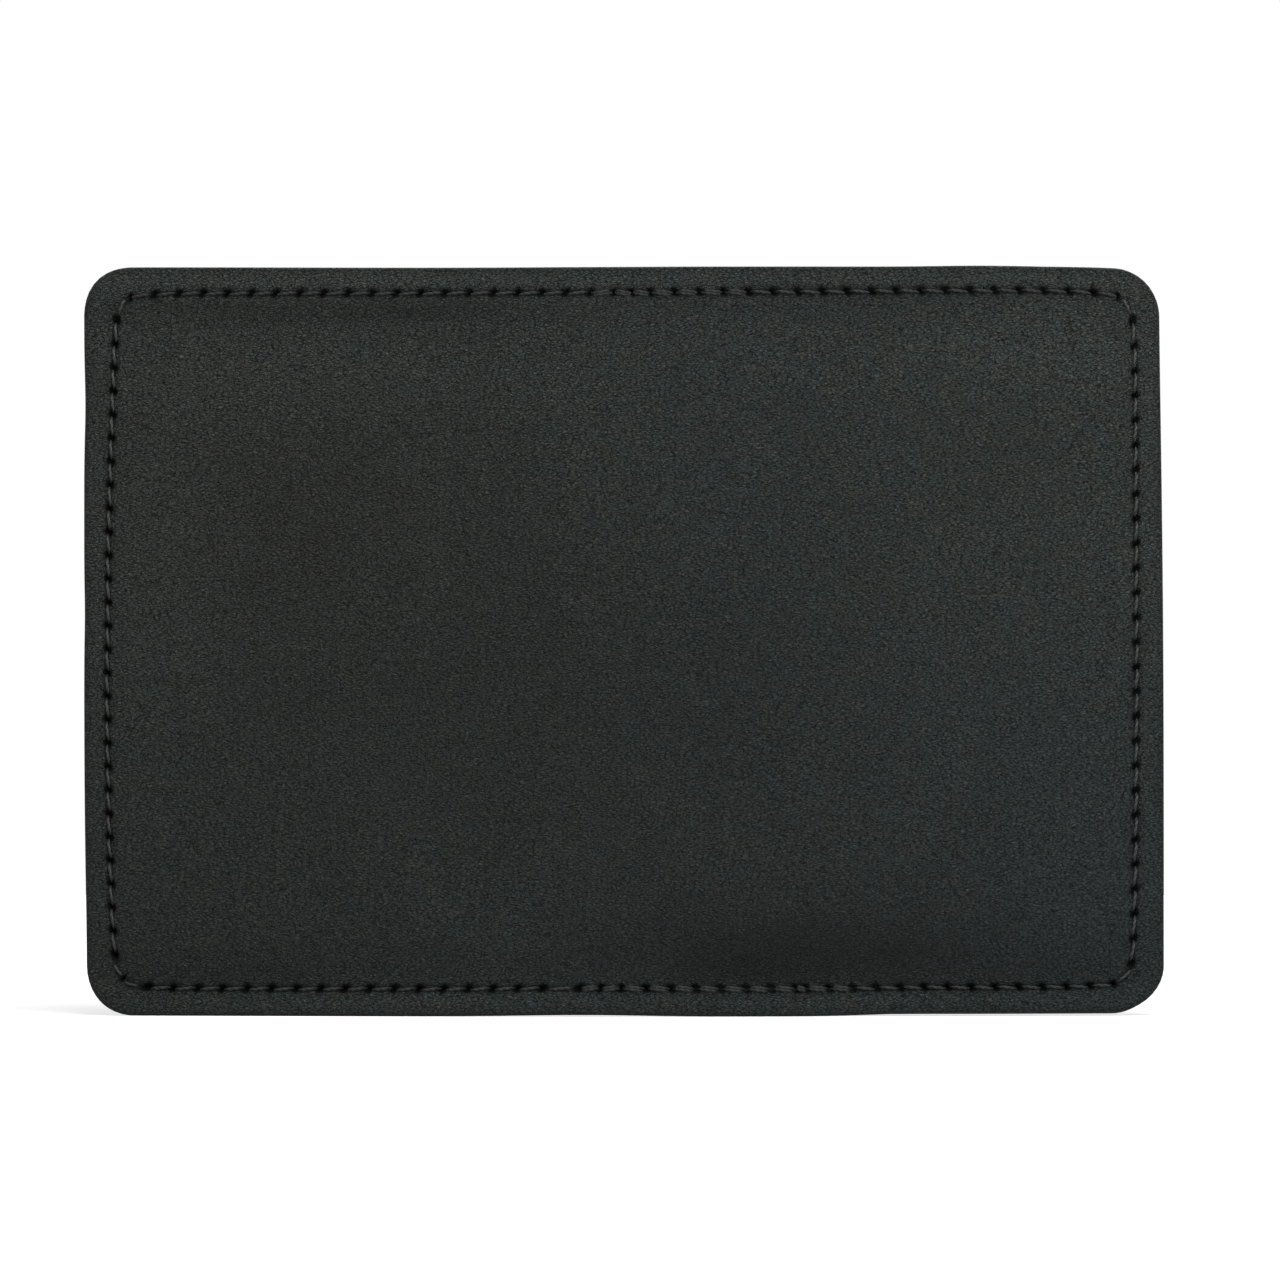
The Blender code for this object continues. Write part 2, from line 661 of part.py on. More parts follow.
def make_spring(parent):
    path = spring_path()
    half_turn = COIL_STEPS // 2
    coil = [Vector(point) for point in path[2:-2]]
    gaps = [
        (first - second).length - 2 * SPRING_WIRE_RADIUS
        for i, first in enumerate(coil)
        for second in coil[i + half_turn :]
    ]
    print(f"clip_spring: {SPRING_TURNS} turns, least gap to itself {min(gaps) / MM:.2f} mm")
    spring = add_thread("clip_spring", path, SPRING_STEEL, parent, SPRING_WIRE_RADIUS)
    spring.location = (0.0, PIN_DEPTH, PIN_HEIGHT)


def centre_on_base(frame):
    """Moves the frame so that the origin is the middle of the bounding box's bottom face."""
    bpy.context.view_layer.update()
    graph = bpy.context.evaluated_depsgraph_get()
    low = Vector((math.inf,) * 3)
    high = Vector((-math.inf,) * 3)
    for obj in parts.objects:
        if obj.type == "EMPTY":
            continue
        evaluated = obj.evaluated_get(graph)
        mesh = evaluated.to_mesh()
        for vert in mesh.vertices:
            place = obj.matrix_world @ vert.co
            low = Vector(map(min, low, place))
            high = Vector(map(max, high, place))
        evaluated.to_mesh_clear()
    frame.location = (-(low.x + high.x) / 2, -(low.y + high.y) / 2, -low.z)
    size = (high - low) / MM
    print(f"wallet, open: {size.x:.1f} x {size.y:.1f} x {size.z:.1f} mm")


clear_scene()
parts = new_collection("money_clip_wallet", bpy.context.scene.collection)
cutters = new_collection("cutters", bpy.context.scene.collection)

wallet_frame = add_empty("wallet_frame", None)
left_fold_axis = add_empty("left_fold_axis", wallet_frame, (-HALF_SPINE, 0, 0), -SWEEP_ANGLE)
right_fold_axis = add_empty("right_fold_axis", wallet_frame, (HALF_SPINE, 0, 0), SWEEP_ANGLE)
clip_axis = add_empty("clip_axis", wallet_frame, (0, PIN_DEPTH, PIN_HEIGHT))

make_half("left", -1, LEFT_POCKETS, left_fold_axis)
make_half("right", 1, RIGHT_POCKETS, right_fold_axis)
make_spine_cover(wallet_frame)
make_spine_lining(wallet_frame)
make_spine_threads(wallet_frame)
make_anchor_plate(wallet_frame)
make_clip_base(wallet_frame)
make_rivets(wallet_frame)
make_pin(wallet_frame)
make_spring(wallet_frame)
make_arm(clip_axis)
centre_on_base(wallet_frame)
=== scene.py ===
# %% [markdown]
# # A money clip wallet in leather, lining cloth and nickel
#
# The wallet stands open like a book, with its outer leather towards the camera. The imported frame
# holds its measured solids and its joints. This lesson dresses that frame: each soft solid gives
# way to a sheet worked out with numpy, each metal part gets its stamped or turned shape, and
# every surface gets its own finish.
#
# Loading comes first, because every piece is placed by the frame.

# %% Load the frame
import math

import bpy
import numpy as np
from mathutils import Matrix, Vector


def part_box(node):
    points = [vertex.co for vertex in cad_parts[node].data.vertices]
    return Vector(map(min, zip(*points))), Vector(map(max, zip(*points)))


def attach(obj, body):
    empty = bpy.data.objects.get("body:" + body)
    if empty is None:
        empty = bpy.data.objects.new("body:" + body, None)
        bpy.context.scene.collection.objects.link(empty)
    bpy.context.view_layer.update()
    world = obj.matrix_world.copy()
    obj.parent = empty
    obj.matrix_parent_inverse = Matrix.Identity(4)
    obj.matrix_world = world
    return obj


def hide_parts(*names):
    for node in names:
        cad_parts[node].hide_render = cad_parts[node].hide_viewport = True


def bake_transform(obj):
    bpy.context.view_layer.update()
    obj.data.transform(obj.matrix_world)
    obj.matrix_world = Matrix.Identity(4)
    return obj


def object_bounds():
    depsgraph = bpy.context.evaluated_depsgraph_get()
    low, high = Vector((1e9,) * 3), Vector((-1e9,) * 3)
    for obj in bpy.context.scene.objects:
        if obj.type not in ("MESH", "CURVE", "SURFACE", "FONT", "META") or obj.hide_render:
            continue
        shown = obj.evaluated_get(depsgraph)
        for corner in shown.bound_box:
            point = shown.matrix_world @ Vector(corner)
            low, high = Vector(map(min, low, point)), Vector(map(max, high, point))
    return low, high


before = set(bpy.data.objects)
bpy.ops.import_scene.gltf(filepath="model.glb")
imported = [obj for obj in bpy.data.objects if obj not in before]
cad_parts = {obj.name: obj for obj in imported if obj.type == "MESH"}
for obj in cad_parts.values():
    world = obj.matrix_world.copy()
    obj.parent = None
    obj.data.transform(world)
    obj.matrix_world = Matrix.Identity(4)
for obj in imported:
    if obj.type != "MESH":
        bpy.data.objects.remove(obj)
cad_low, cad_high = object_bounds()

# %% [markdown]
# ## Camera
#
# The wallet was photographed square on from far away, so its sides stay parallel. A long lens two
# metres off gives that, and keeps a little of the depth that a flat projection would lose.

# %% Camera
MM = 0.001
PHOTO_SCALE = 6.93
PHOTO_MIDDLE_PX = 623.5
PHOTO_BASE_PX = 1015.5
PHOTO_CENTRE_PX = 640.0
CAMERA_DISTANCE = 2.0
CAMERA_LENS = 391.4
WALLET_HEIGHT = 108.0

camera_data = bpy.data.cameras.new("camera")
camera_data.lens = CAMERA_LENS
camera_data.sensor_width = 36.0
camera = bpy.data.objects.new("camera", camera_data)
bpy.context.scene.collection.objects.link(camera)
camera.location = (
    (PHOTO_CENTRE_PX - PHOTO_MIDDLE_PX) / PHOTO_SCALE * MM,
    cad_low.y - CAMERA_DISTANCE,
    (PHOTO_BASE_PX - PHOTO_CENTRE_PX) / PHOTO_SCALE * MM,
)
camera.rotation_euler = (math.radians(90), 0.0, 0.0)
bpy.context.scene.camera = camera
bpy.context.scene.view_settings.view_transform = "Standard"
print("camera at", [round(value, 4) for value in camera.location])

# %% [markdown]
# ## Light
#
# The world and every material are made of nodes. Each node could be added and wired by hand in
# the editor or line by line, but three small helpers keep the recipes below short enough to read.

# %% Node helpers
def add_node(tree, kind, inputs=None, **settings):
    """A shader node whose inputs are numbers, colours or other nodes' sockets."""
    made = tree.nodes.new(kind)
    for key, value in settings.items():
        setattr(made, key, value)
    for key, value in (inputs or {}).items():
        if isinstance(value, bpy.types.NodeSocket):
            tree.links.new(value, made.inputs[key])
        else:
            made.inputs[key].default_value = value
    return made


def calc(tree, operation, first, second=0.0, third=0.0):
    """One Math node; its result socket."""
    values = {0: first, 1: second, 2: third}
    return add_node(tree, "ShaderNodeMath", values, operation=operation).outputs[0]


def feed(node, name, socket):
    """Links a socket to one input of a node."""
    node.id_data.links.new(socket, node.inputs[name])


print("node helpers: add_node, calc, feed")

# %% [markdown]
# Black leather is lit from a large soft lamp above and in front: the top of the wallet is nearer
# to it and brighter than the bottom. A second lamp behind serves the pockets and the clip. A
# white world would give the white background too, but would also wash the leather out, so the
# world is white only for the camera and for mirror-like surfaces, and dim as a light.

# %% World and lamps
KEY_PLACE, KEY_SIZE, KEY_POWER = (0.05, -0.20, 0.31), 0.26, 2.3
KEY_AIM = (0.0, 0.0, 0.06)
BACK_PLACE, BACK_SIZE, BACK_POWER = (0.30, 1.0, 0.75), 1.4, 13.0
BACK_AIM = (0.0, 0.0, 0.05)
WORLD_LIGHT = 0.22
WHITE = (1.0, 1.0, 1.0, 1.0)


def seen_directly(tree):
    """1 for camera, glossy and transmission rays, and 0 for the rays that only light a surface."""
    path = add_node(tree, "ShaderNodeLightPath")
    glossy, through = path.outputs["Is Glossy Ray"], path.outputs["Is Transmission Ray"]
    mirrored = calc(tree, "MAXIMUM", glossy, through)
    return calc(tree, "MAXIMUM", path.outputs["Is Camera Ray"], mirrored)


def add_lamp(name, place, size, power, aim):
    """A square area lamp turned towards a point."""
    data = bpy.data.lights.new(name, "AREA")
    data.size = size
    data.energy = power
    lamp = bpy.data.objects.new(name, data)
    bpy.context.scene.collection.objects.link(lamp)
    lamp.location = place
    direction = Vector(aim) - Vector(place)
    lamp.rotation_euler = direction.to_track_quat("-Z", "Y").to_euler()
    lamp.visible_camera = False
    return lamp


world = bpy.data.worlds.new("studio")
bpy.context.scene.world = world
world.use_nodes = True
background = world.node_tree.nodes["Background"]
background.inputs["Color"].default_value = WHITE
direct = seen_directly(world.node_tree)
strength = calc(world.node_tree, "MULTIPLY_ADD", direct, 1 - WORLD_LIGHT, WORLD_LIGHT)
feed(background, "Strength", strength)
add_lamp("key_lamp", KEY_PLACE, KEY_SIZE, KEY_POWER, KEY_AIM)
add_lamp("back_lamp", BACK_PLACE, BACK_SIZE, BACK_POWER, BACK_AIM)
print("lamps of", KEY_POWER, "and", BACK_POWER, "W, world", WORLD_LIGHT)

# %% [markdown]
# ## Floor
#
# A pale floor carries the wallet. Its own glow lifts it to white and doesn't light the wallet.
# The glow is weak near the wallet, so that the soft shadow still shows there.

# %% Floor
FLOOR_SIZE = 0.95
FLOOR_GREY = (0.6, 0.6, 0.6, 1.0)
FLOOR_ROUGHNESS = 0.95
GLOW_NEAR, GLOW_FAR = 0.5, 0.84
SHADOW_REACH, WHITE_FROM = 0.12, 0.6
corners = [(-FLOOR_SIZE, -FLOOR_SIZE, 0), (FLOOR_SIZE, -FLOOR_SIZE, 0)]
corners += [(FLOOR_SIZE, FLOOR_SIZE, 0), (-FLOOR_SIZE, FLOOR_SIZE, 0)]
floor_mesh = bpy.data.meshes.new("floor")
floor_mesh.from_pydata(corners, [], [(0, 1, 2, 3)])
floor = bpy.data.objects.new("floor", floor_mesh)
bpy.context.scene.collection.objects.link(floor)
paper = bpy.data.materials.new("floor_paper")
paper.use_nodes = True
tree = paper.node_tree
paper_shader = tree.nodes["Principled BSDF"]
paper_shader.inputs["Base Color"].default_value = FLOOR_GREY
paper_shader.inputs["Roughness"].default_value = FLOOR_ROUGHNESS
paper_shader.inputs["Specular IOR Level"].default_value = 0.0
paper_shader.inputs["Emission Color"].default_value = WHITE
floor_place = add_node(tree, "ShaderNodeTexCoord").outputs["Object"]
way_off = add_node(tree, "ShaderNodeVectorMath", {0: floor_place}, operation="LENGTH")
way_off = way_off.outputs["Value"]
growing = add_node(tree, "ShaderNodeMapRange", {
    "Value": way_off, "From Min": SHADOW_REACH, "From Max": WHITE_FROM,
    "To Min": GLOW_NEAR, "To Max": GLOW_FAR}, interpolation_type="SMOOTHSTEP").outputs[0]
feed(paper_shader, "Emission Strength", calc(tree, "MULTIPLY", seen_directly(tree), growing))
floor_mesh.materials.append(paper)
print("floor", 2 * FLOOR_SIZE, "m wide, glow", GLOW_NEAR, "to", GLOW_FAR)

# %% [markdown]
# ## How the leather folds
#
# All the sheets are drawn flat: x runs from the wallet's middle outwards, w from the outer face
# inwards, z up, in millimetres. Then each half is turned about its fold line.

# %% Folding a flat half
HALF_WIDTH = 70.0
FOLD = 8.25
SPAN = FOLD + HALF_WIDTH
SWEEP = math.radians(6.0)
BEND = 6.0
FACE_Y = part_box("spine_outer_leather")[0].y / MM
print("outer face of the spine at y =", round(FACE_Y, 3), "mm")


def ease(t):
    """3t^2 - 2t^3 between 0 and 1, level at both ends."""
    t = np.clip(t, 0.0, 1.0)
    return t * t * (3 - 2 * t)


def fold(flat, side, stiff=False):
    """Flat points (x, w, z) in mm to the standing wallet in metres.

    A point turns about its fold line by the sweep times ease(t), where t runs from 0 to 1 across
    the bend. A stiff piece turns by the whole sweep.
    """
    u = flat[..., 0] - FOLD
    turn = SWEEP * (np.ones_like(u) if stiff else ease(0.5 + u / (2 * BEND)))
    x = FOLD + u * np.cos(turn) - flat[..., 1] * np.sin(turn)
    y = FACE_Y + u * np.sin(turn) + flat[..., 1] * np.cos(turn)
    return np.stack([side * x, y, flat[..., 2]], -1) * MM


def blend_across_fold(piece, side):
    """Bakes the piece's transform into its mesh, alike for either side."""
    if side < 0:
        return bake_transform(piece)
    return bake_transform(piece)


# %% [markdown]
# ## Making a mesh from arrays
#
# A piece is an array of points and some arrays of faces. The volume that the faces enclose tells
# whether they point outwards: if it comes out negative, all of them are turned round. Patterns
# follow a sheet by an attribute that keeps each point's flat place.

# %% Mesh helpers
def new_piece(name, points, faces, material, attributes=None, flat_faces=0):
    """An object at the origin. The last flat_faces faces aren't smoothed."""
    mesh = bpy.data.meshes.new(name)
    lists = [face for group in faces for face in np.asarray(group).tolist()]
    mesh.from_pydata(points.reshape(-1, 3).tolist(), [], lists)
    smooth = np.arange(len(lists)) < len(lists) - flat_faces
    mesh.polygons.foreach_set("use_smooth", smooth)
    for key, values in (attributes or {}).items():
        kind, field = ("FLOAT_VECTOR", "vector") if values.shape[-1] == 3 else ("FLOAT", "value")
        layer = mesh.attributes.new(key, kind, "POINT")
        layer.data.foreach_set(field, values.astype(np.float32).ravel())
    keep_sharp(mesh, flat_faces)
    if enclosed_volume(mesh) < 0:
        mesh.flip_normals()
    mesh.materials.append(material)
    piece = bpy.data.objects.new(name, mesh)
    bpy.context.scene.collection.objects.link(piece)
    print(f"{name}: {len(mesh.loop_triangles)} triangles")
    return piece


def keep_sharp(mesh, flat_faces):
    """Marks the edges of the last flat_faces faces as sharp."""
    if not flat_faces:
        return
    edges = np.empty(len(mesh.loops), np.int32)
    mesh.loops.foreach_get("edge_index", edges)
    sharp = np.zeros(len(mesh.edges), bool)
    sharp[edges[mesh.polygons[-flat_faces].loop_start :]] = True
    mesh.edges.foreach_set("use_edge_sharp", sharp)


def enclosed_volume(mesh):
    """A sixth of the sum of a . (b x c) over the triangles."""
    mesh.calc_loop_triangles()
    corners = np.empty(len(mesh.loop_triangles) * 3, np.int32)
    mesh.loop_triangles.foreach_get("vertices", corners)
    places = np.empty(len(mesh.vertices) * 3)
    mesh.vertices.foreach_get("co", places)
    a, b, c = places.reshape(-1, 3)[corners.reshape(-1, 3)].transpose(1, 0, 2)
    return float((a * np.cross(b, c)).sum() / 6)


print("mesh helpers: new_piece, keep_sharp, enclosed_volume")

# %% [markdown]
# Most faces here are quads between neighbours in a grid of points, so slices of the array of
# point numbers give them all at once. Unevenness comes from noise on a lattice. Blender's
# displace modifier could do that too, but a function can also shape the neighbouring sheets and
# the thread.

# %% Grids and noise
LATTICE_COS, LATTICE_SIN = 0.82, 0.57
LATTICE_CELLS = 97


def grid_quads(numbers):
    """Quads over a 2-D array of vertex numbers."""
    a, b = numbers[:-1, :-1], numbers[1:, :-1]
    c, d = numbers[1:, 1:], numbers[:-1, 1:]
    return np.stack([a, b, c, d], -1).reshape(-1, 4)


def value_noise(x, z, cell, seed):
    """Random heights from -1 to 1 on a lattice that lies askew.

    Between two lattice points the height follows 6t^5 - 15t^4 + 10t^3, which bends evenly, so
    that no lattice line shows in the gloss.
    """
    table = np.random.default_rng(seed).uniform(-1, 1, (LATTICE_CELLS, LATTICE_CELLS))
    p = (LATTICE_COS * x + LATTICE_SIN * z) / cell
    q = (LATTICE_COS * z - LATTICE_SIN * x) / cell
    i, j = np.floor(p).astype(int), np.floor(q).astype(int)
    s, t = [r**3 * (6 * r * r - 15 * r + 10) for r in (p - i, q - j)]
    i, j, right, up = [k % LATTICE_CELLS for k in (i, j, i + 1, j + 1)]
    low = table[i, j] * (1 - s) + table[right, j] * s
    high = table[i, up] * (1 - s) + table[right, up] * s
    return low * (1 - t) + high * t


print("a 3 by 3 grid has", len(grid_quads(np.arange(9).reshape(3, 3))), "quads")


# %% [markdown]
# ## Finishes
#
# A photograph of leather could be laid over the sheets, but it would bring its own light and
# repeat. Patterns worked out by nodes have no seams and stay sharp from near by. The helpers
# below make a material, mix two colours, carry a value from one range to another, and look up
# where on the flat sheet a point lies.

# %% Material helpers
def new_material(name, roughness, specular=0.5, metallic=0.0):
    """A material, its node tree and its shader, with the numbers that hold all over."""
    made = bpy.data.materials.new(name)
    made.use_nodes = True
    shader = made.node_tree.nodes["Principled BSDF"]
    shader.inputs["Roughness"].default_value = roughness
    shader.inputs["Specular IOR Level"].default_value = specular
    shader.inputs["Metallic"].default_value = metallic
    return made, made.node_tree, shader


def mixed(tree, share, first, second):
    """A colour between two colours or sockets."""
    mix = add_node(tree, "ShaderNodeMix", data_type="RGBA")
    for socket, value in (("A_Color", first), ("B_Color", second), ("Factor_Float", share)):
        target = next(item for item in mix.inputs if item.identifier == socket)
        if isinstance(value, bpy.types.NodeSocket):
            tree.links.new(value, target)
        else:
            target.default_value = (*value, 1.0) if isinstance(value, tuple) else value
    return next(item for item in mix.outputs if item.identifier == "Result_Color")


def ranged(tree, value, start, end, low=0.0, high=1.0, smooth=True):
    """A value carried from one range to another, eased at both ends or straight."""
    inputs = {"Value": value, "From Min": start, "From Max": end, "To Min": low, "To Max": high}
    kind = "SMOOTHSTEP" if smooth else "LINEAR"
    return add_node(tree, "ShaderNodeMapRange", inputs, interpolation_type=kind).outputs[0]


def pattern_place(tree, attribute="place"):
    """The vector that the mesh keeps at each point, by default its flat place in mm."""
    return add_node(tree, "ShaderNodeAttribute", attribute_name=attribute).outputs["Vector"]


def point_value(tree, attribute):
    """The number that the mesh keeps at each point."""
    return add_node(tree, "ShaderNodeAttribute", attribute_name=attribute).outputs["Fac"]


def noise(tree, place, scale, detail=2.0, roughness=0.5):
    """Cloudy noise from 0 to 1 with about scale clouds per unit of place."""
    inputs = {"Vector": place, "Scale": scale, "Detail": detail, "Roughness": roughness}
    return add_node(tree, "ShaderNodeTexNoise", inputs).outputs["Fac"]


def bump(tree, height, distance):
    """A normal bent by a height, where a height of 1 stands for the distance in metres."""
    inputs = {"Height": height, "Distance": distance, "Strength": 1.0}
    return add_node(tree, "ShaderNodeBump", inputs).outputs[0]


print("material helpers: new_material, mixed, ranged, pattern_place, point_value, noise, bump")

# %% [markdown]
# ## The leather's finish
#
# The outer leather is fine calf with a tight pebble: cells about 0.4 mm across, with soft creases
# over them. Noise alone would look like felt, because it has no cells. So Voronoi cells give the
# pebbles, and noise only bends and breaks them. The heights are true ones, in metres.

# %% Pebbles
PEBBLE_STRETCH = (0.75, 1.0, 1.45)
WANDER_SCALE, WANDER = 0.9, 0.7
DOME_EDGE, DOT_EDGE = 0.2, 0.3
DOTS_PER_DOME, CREASES_PER_DOME, PORES_PER_DOME = 2.1, 1.5, 4.0
DOT_HEIGHT, CREASE_HEIGHT, PORE_HEIGHT = 0.45, 2.2, 0.4


def scaled(tree, vector, factor):
    """A vector or a colour times a factor."""
    inputs = {0: vector, "Scale": factor}
    return add_node(tree, "ShaderNodeVectorMath", inputs, operation="SCALE").outputs[0]


def cell_edges(tree, place, scale):
    """The distance to the nearest line between Voronoi cells."""
    inputs = {"Vector": place, "Scale": scale}
    cells = add_node(tree, "ShaderNodeTexVoronoi", inputs, feature="DISTANCE_TO_EDGE")
    return cells.outputs["Distance"]


def pebbles(tree, place, scale):
    """Domes, the creases over them, and the height of domes, dots, creases and pores together."""
    inputs = {"Vector": place, "Scale": WANDER_SCALE, "Detail": 3.0}
    drift = add_node(tree, "ShaderNodeTexNoise", inputs)
    wander = scaled(tree, drift.outputs["Color"], WANDER)
    warped = add_node(tree, "ShaderNodeVectorMath", {0: place, 1: wander}, operation="ADD")
    inputs = {"Vector": warped.outputs[0], "Scale": PEBBLE_STRETCH}
    drawn = add_node(tree, "ShaderNodeMapping", inputs).outputs[0]
    cells, small = [cell_edges(tree, drawn, scale * share) for share in (1.0, DOTS_PER_DOME)]
    domes = ranged(tree, cells, 0.0, DOME_EDGE)
    dots = ranged(tree, small, 0.0, DOT_EDGE)
    creases = noise(tree, drawn, scale * CREASES_PER_DOME, 1.0, 0.5)
    pores = noise(tree, place, scale * PORES_PER_DOME, 2.0)
    height = domes
    for part, high in ((dots, DOT_HEIGHT), (creases, CREASE_HEIGHT), (pores, PORE_HEIGHT)):
        height = calc(tree, "MULTIPLY_ADD", part, high, height)
    return domes, creases, height


print("every dome carries", DOTS_PER_DOME**2, "dots")

# %% [markdown]
# Black leather isn't quite black: it is dyed, and shows a little green or brown in patches and in
# specks. Dyeing it in one colour and adding light would look like rubber. Here the hue drifts
# between two blacks, and the creases and the valleys between domes are darker than the domes'
# tops, partly the grain's own colour and partly painted shade. Each sheet brings its own slow
# changes of tone, painted light and shade, and warmth. The same recipe with a flatter pebble
# serves the pockets.

# %% Leather finish
GREEN_BLACK = (0.0175, 0.0244, 0.024)
BROWN_BLACK = (0.0245, 0.0249, 0.0207)
PATCH_SCALE, SPECK_SCALE, DULL_SCALE = 0.35, 3.2, 0.5
DOME_SHADE, CREASE_SHADE = 0.72, 0.88
CREASE_FROM, CREASE_TO = 0.375, 0.625
UNEVEN_GLOSS = 0.07


def leather_finish(name, green, brown, roughness, specular, pebble, depth):
    """Pebbled leather: pebble is the cells' number per mm, depth their height in metres."""
    made, tree, shader = new_material(name, roughness, specular)
    place = pattern_place(tree)
    domes, creases, height = pebbles(tree, place, pebble)
    feed(shader, "Normal", bump(tree, height, depth))
    patches = ranged(tree, noise(tree, place, PATCH_SCALE, 4.0, 0.6), 0.35, 0.65)
    specks = ranged(tree, noise(tree, place, SPECK_SCALE, 3.0, 0.6), 0.4, 0.7)
    spotted = calc(tree, "MULTIPLY_ADD", specks, 0.5, point_value(tree, "warmth"))
    hue = mixed(tree, calc(tree, "MULTIPLY_ADD", patches, 0.5, spotted), green, brown)
    # Painted shade with the grain's own colour: low creases and cell edges darker, dome tops paler.
    lit_creases = ranged(tree, creases, CREASE_FROM, CREASE_TO, 0.0, CREASE_SHADE, False)
    creased = calc(tree, "MULTIPLY_ADD", domes, DOME_SHADE, lit_creases)
    tinted = scaled(tree, hue, calc(tree, "MULTIPLY", creased, point_value(tree, "painted_light_and_tone")))
    least, most = roughness - UNEVEN_GLOSS, roughness + UNEVEN_GLOSS
    dull = noise(tree, place, DULL_SCALE, 4.0)
    feed(shader, "Roughness", ranged(tree, dull, 0.3, 0.7, least, most))
    return made, tree, shader, tinted


outer_finish, outer_tree, outer_shader, outer_colour = leather_finish(
    "outer_leather", GREEN_BLACK, BROWN_BLACK,
    roughness=0.54, specular=0.12, pebble=1.9, depth=0.0004)
print("outer leather:", len(outer_tree.nodes), "nodes")

# %% [markdown]
# The needle holes are painted black inside and the groove beside the thread is painted darker,
# both painted shadow. They could be dark points of the mesh, but they would be as coarse as its
# grid. Instead the leather carries an attribute that counts the stitches along the seam and gives
# the distance from it, so the shader can tell a hole's place to a hair.

# %% Painted shadow in the needle holes and the groove
STITCH_LENGTH = 3.5
HOLE_LONG, HOLE_WIDE, HOLE_SLANT = 0.62, 0.62, 0.5
GROOVE_SHADE = 0.6
GROOVE_SHADOW_COLOUR, HOLE_SHADOW_COLOUR = (0.003, 0.003, 0.003), (0.0015, 0.0015, 0.0015)
seam = add_node(outer_tree, "ShaderNodeSeparateXYZ", {0: pattern_place(outer_tree, "seam")})
stitch_count, off_seam = seam.outputs[0], seam.outputs[1]
from_hole = calc(outer_tree, "SUBTRACT", stitch_count, calc(outer_tree, "ROUND", stitch_count))
slanted = calc(outer_tree, "MULTIPLY", off_seam, HOLE_SLANT)
along = calc(outer_tree, "MULTIPLY_ADD", from_hole, STITCH_LENGTH / HOLE_LONG, slanted)
across = calc(outer_tree, "MULTIPLY", off_seam, 1 / HOLE_WIDE)
across_square = calc(outer_tree, "MULTIPLY", across, across)
radius = calc(outer_tree, "SQRT", calc(outer_tree, "MULTIPLY_ADD", along, along, across_square))
# Painted shadow: black in each hole, darker in the groove beside the thread.
hole_shadow = ranged(outer_tree, radius, 1.25, 0.8)
way_off_seam = calc(outer_tree, "ABSOLUTE", off_seam)
groove_shadow = ranged(outer_tree, way_off_seam, 0.62, 0.26, 0.0, GROOVE_SHADE)
outer_colour = mixed(outer_tree, groove_shadow, outer_colour, GROOVE_SHADOW_COLOUR)
feed(outer_shader, "Base Color", mixed(outer_tree, hole_shadow, outer_colour, HOLE_SHADOW_COLOUR))
print("with needle holes:", len(outer_tree.nodes), "nodes")

# %% [markdown]
# ## The edge and the seam
#
# A hand-finished edge isn't quite straight, and its seam wanders by half a millimetre. A curve
# could be bent by hand to match. Here both are a straight line plus a few soft swells, read off
# the photograph, so that each swell can be changed by itself.

# %% Swells
def bell(t):
    """A soft hill, 1 at its middle: exp(-t^2)."""
    return np.exp(-(t**2))


def swells(x, base, *waves):
    """A base plus hills, each with its middle, width and height in mm."""
    return base + sum(height * bell((x - middle) / width) for middle, width, height in waves)


EDGE_INSET = {
    "top": (0.03, (-22, 34, 0.2), (52, 9, -0.17), (74, 5, 0.2)),
    "bottom": (0.0, (-6, 13, 0.25), (44, 11, 0.36), (64, 15, 0.42), (74, 5, 0.25)),
    "left": (-0.05, (88, 6, 0.18), (58, 5, 0.1), (2, 22, 0.42)),
    "right": (-0.2, (115, 42, 0.75)),
}
SEAM_INSET = {
    "top": (3.85, (60, 40, -0.32)),
    "bottom": (3.92, (0, 30, 0.05)),
    "left": (3.34, (105, 30, 1.05), (0, 26, 0.8)),
    "right": (3.89, (0, 30, 0.4)),
}
CORNER_SEAM_EXTRA, CORNER_SEAM_WIDTH = 0.8, 7.0
CORNER_PUSH = {-1: (0.09, 0.32), 1: (-0.16, 0.0)}
print("the top edge lies", round(float(swells(0, *EDGE_INSET["top"])), 2), "mm low at the middle")

# %% [markdown]
# One half's edge is walked from the middle of the bottom, round the two corners and back to the
# middle of the top. A point is then given by its way s along the edge and its distance d from it.
# That way, one loop of numbers serves the edge, the seam and the stitches.

# %% The edge of a half
CORNER = 7.2
END_RUN = SPAN - CORNER
ARC = CORNER * math.pi / 2
SIDE_RUN = WALLET_HEIGHT - 2 * CORNER
MARKS = np.cumsum([0.0, END_RUN, ARC, SIDE_RUN, ARC, END_RUN])
TOTAL = MARKS[-1]


def edge_frame(s):
    """Edge point and inward direction at the way s: straights and two quarter circles."""
    a = np.clip((s - MARKS[1]) / CORNER, 0, math.pi / 2)
    b = np.clip((s - MARKS[3]) / CORNER, 0, math.pi / 2)
    turn = a + b
    x = np.minimum(s, END_RUN) + CORNER * np.sin(turn) - np.maximum(s - MARKS[4], 0)
    rise = np.clip(s - MARKS[2], 0, SIDE_RUN)
    z = CORNER * (1 - np.cos(turn)) + rise
    return x, z, -np.sin(turn), np.cos(turn)


def inset(table, s, side, x, z, nx, nz):
    """An inset shared out between the end's and the side's curve by the edge's direction."""
    bottom, top = swells(side * x, *table["bottom"]), swells(side * x, *table["top"])
    ends = np.where(s < TOTAL / 2, bottom, top)
    return nx**2 * swells(z, *table["left" if side < 0 else "right"]) + nz**2 * ends


def seam_inset(s, side):
    """The seam's distance from the edge, which is larger where it cuts across a corner."""
    x, z, nx, nz = edge_frame(s)
    middles = (MARKS[1] + MARKS[2]) / 2, (MARKS[3] + MARKS[4]) / 2
    cut = sum(bell((s - middle) / CORNER_SEAM_WIDTH) for middle in middles)
    return inset(SEAM_INSET, s, side, x, z, nx, nz) + CORNER_SEAM_EXTRA * cut


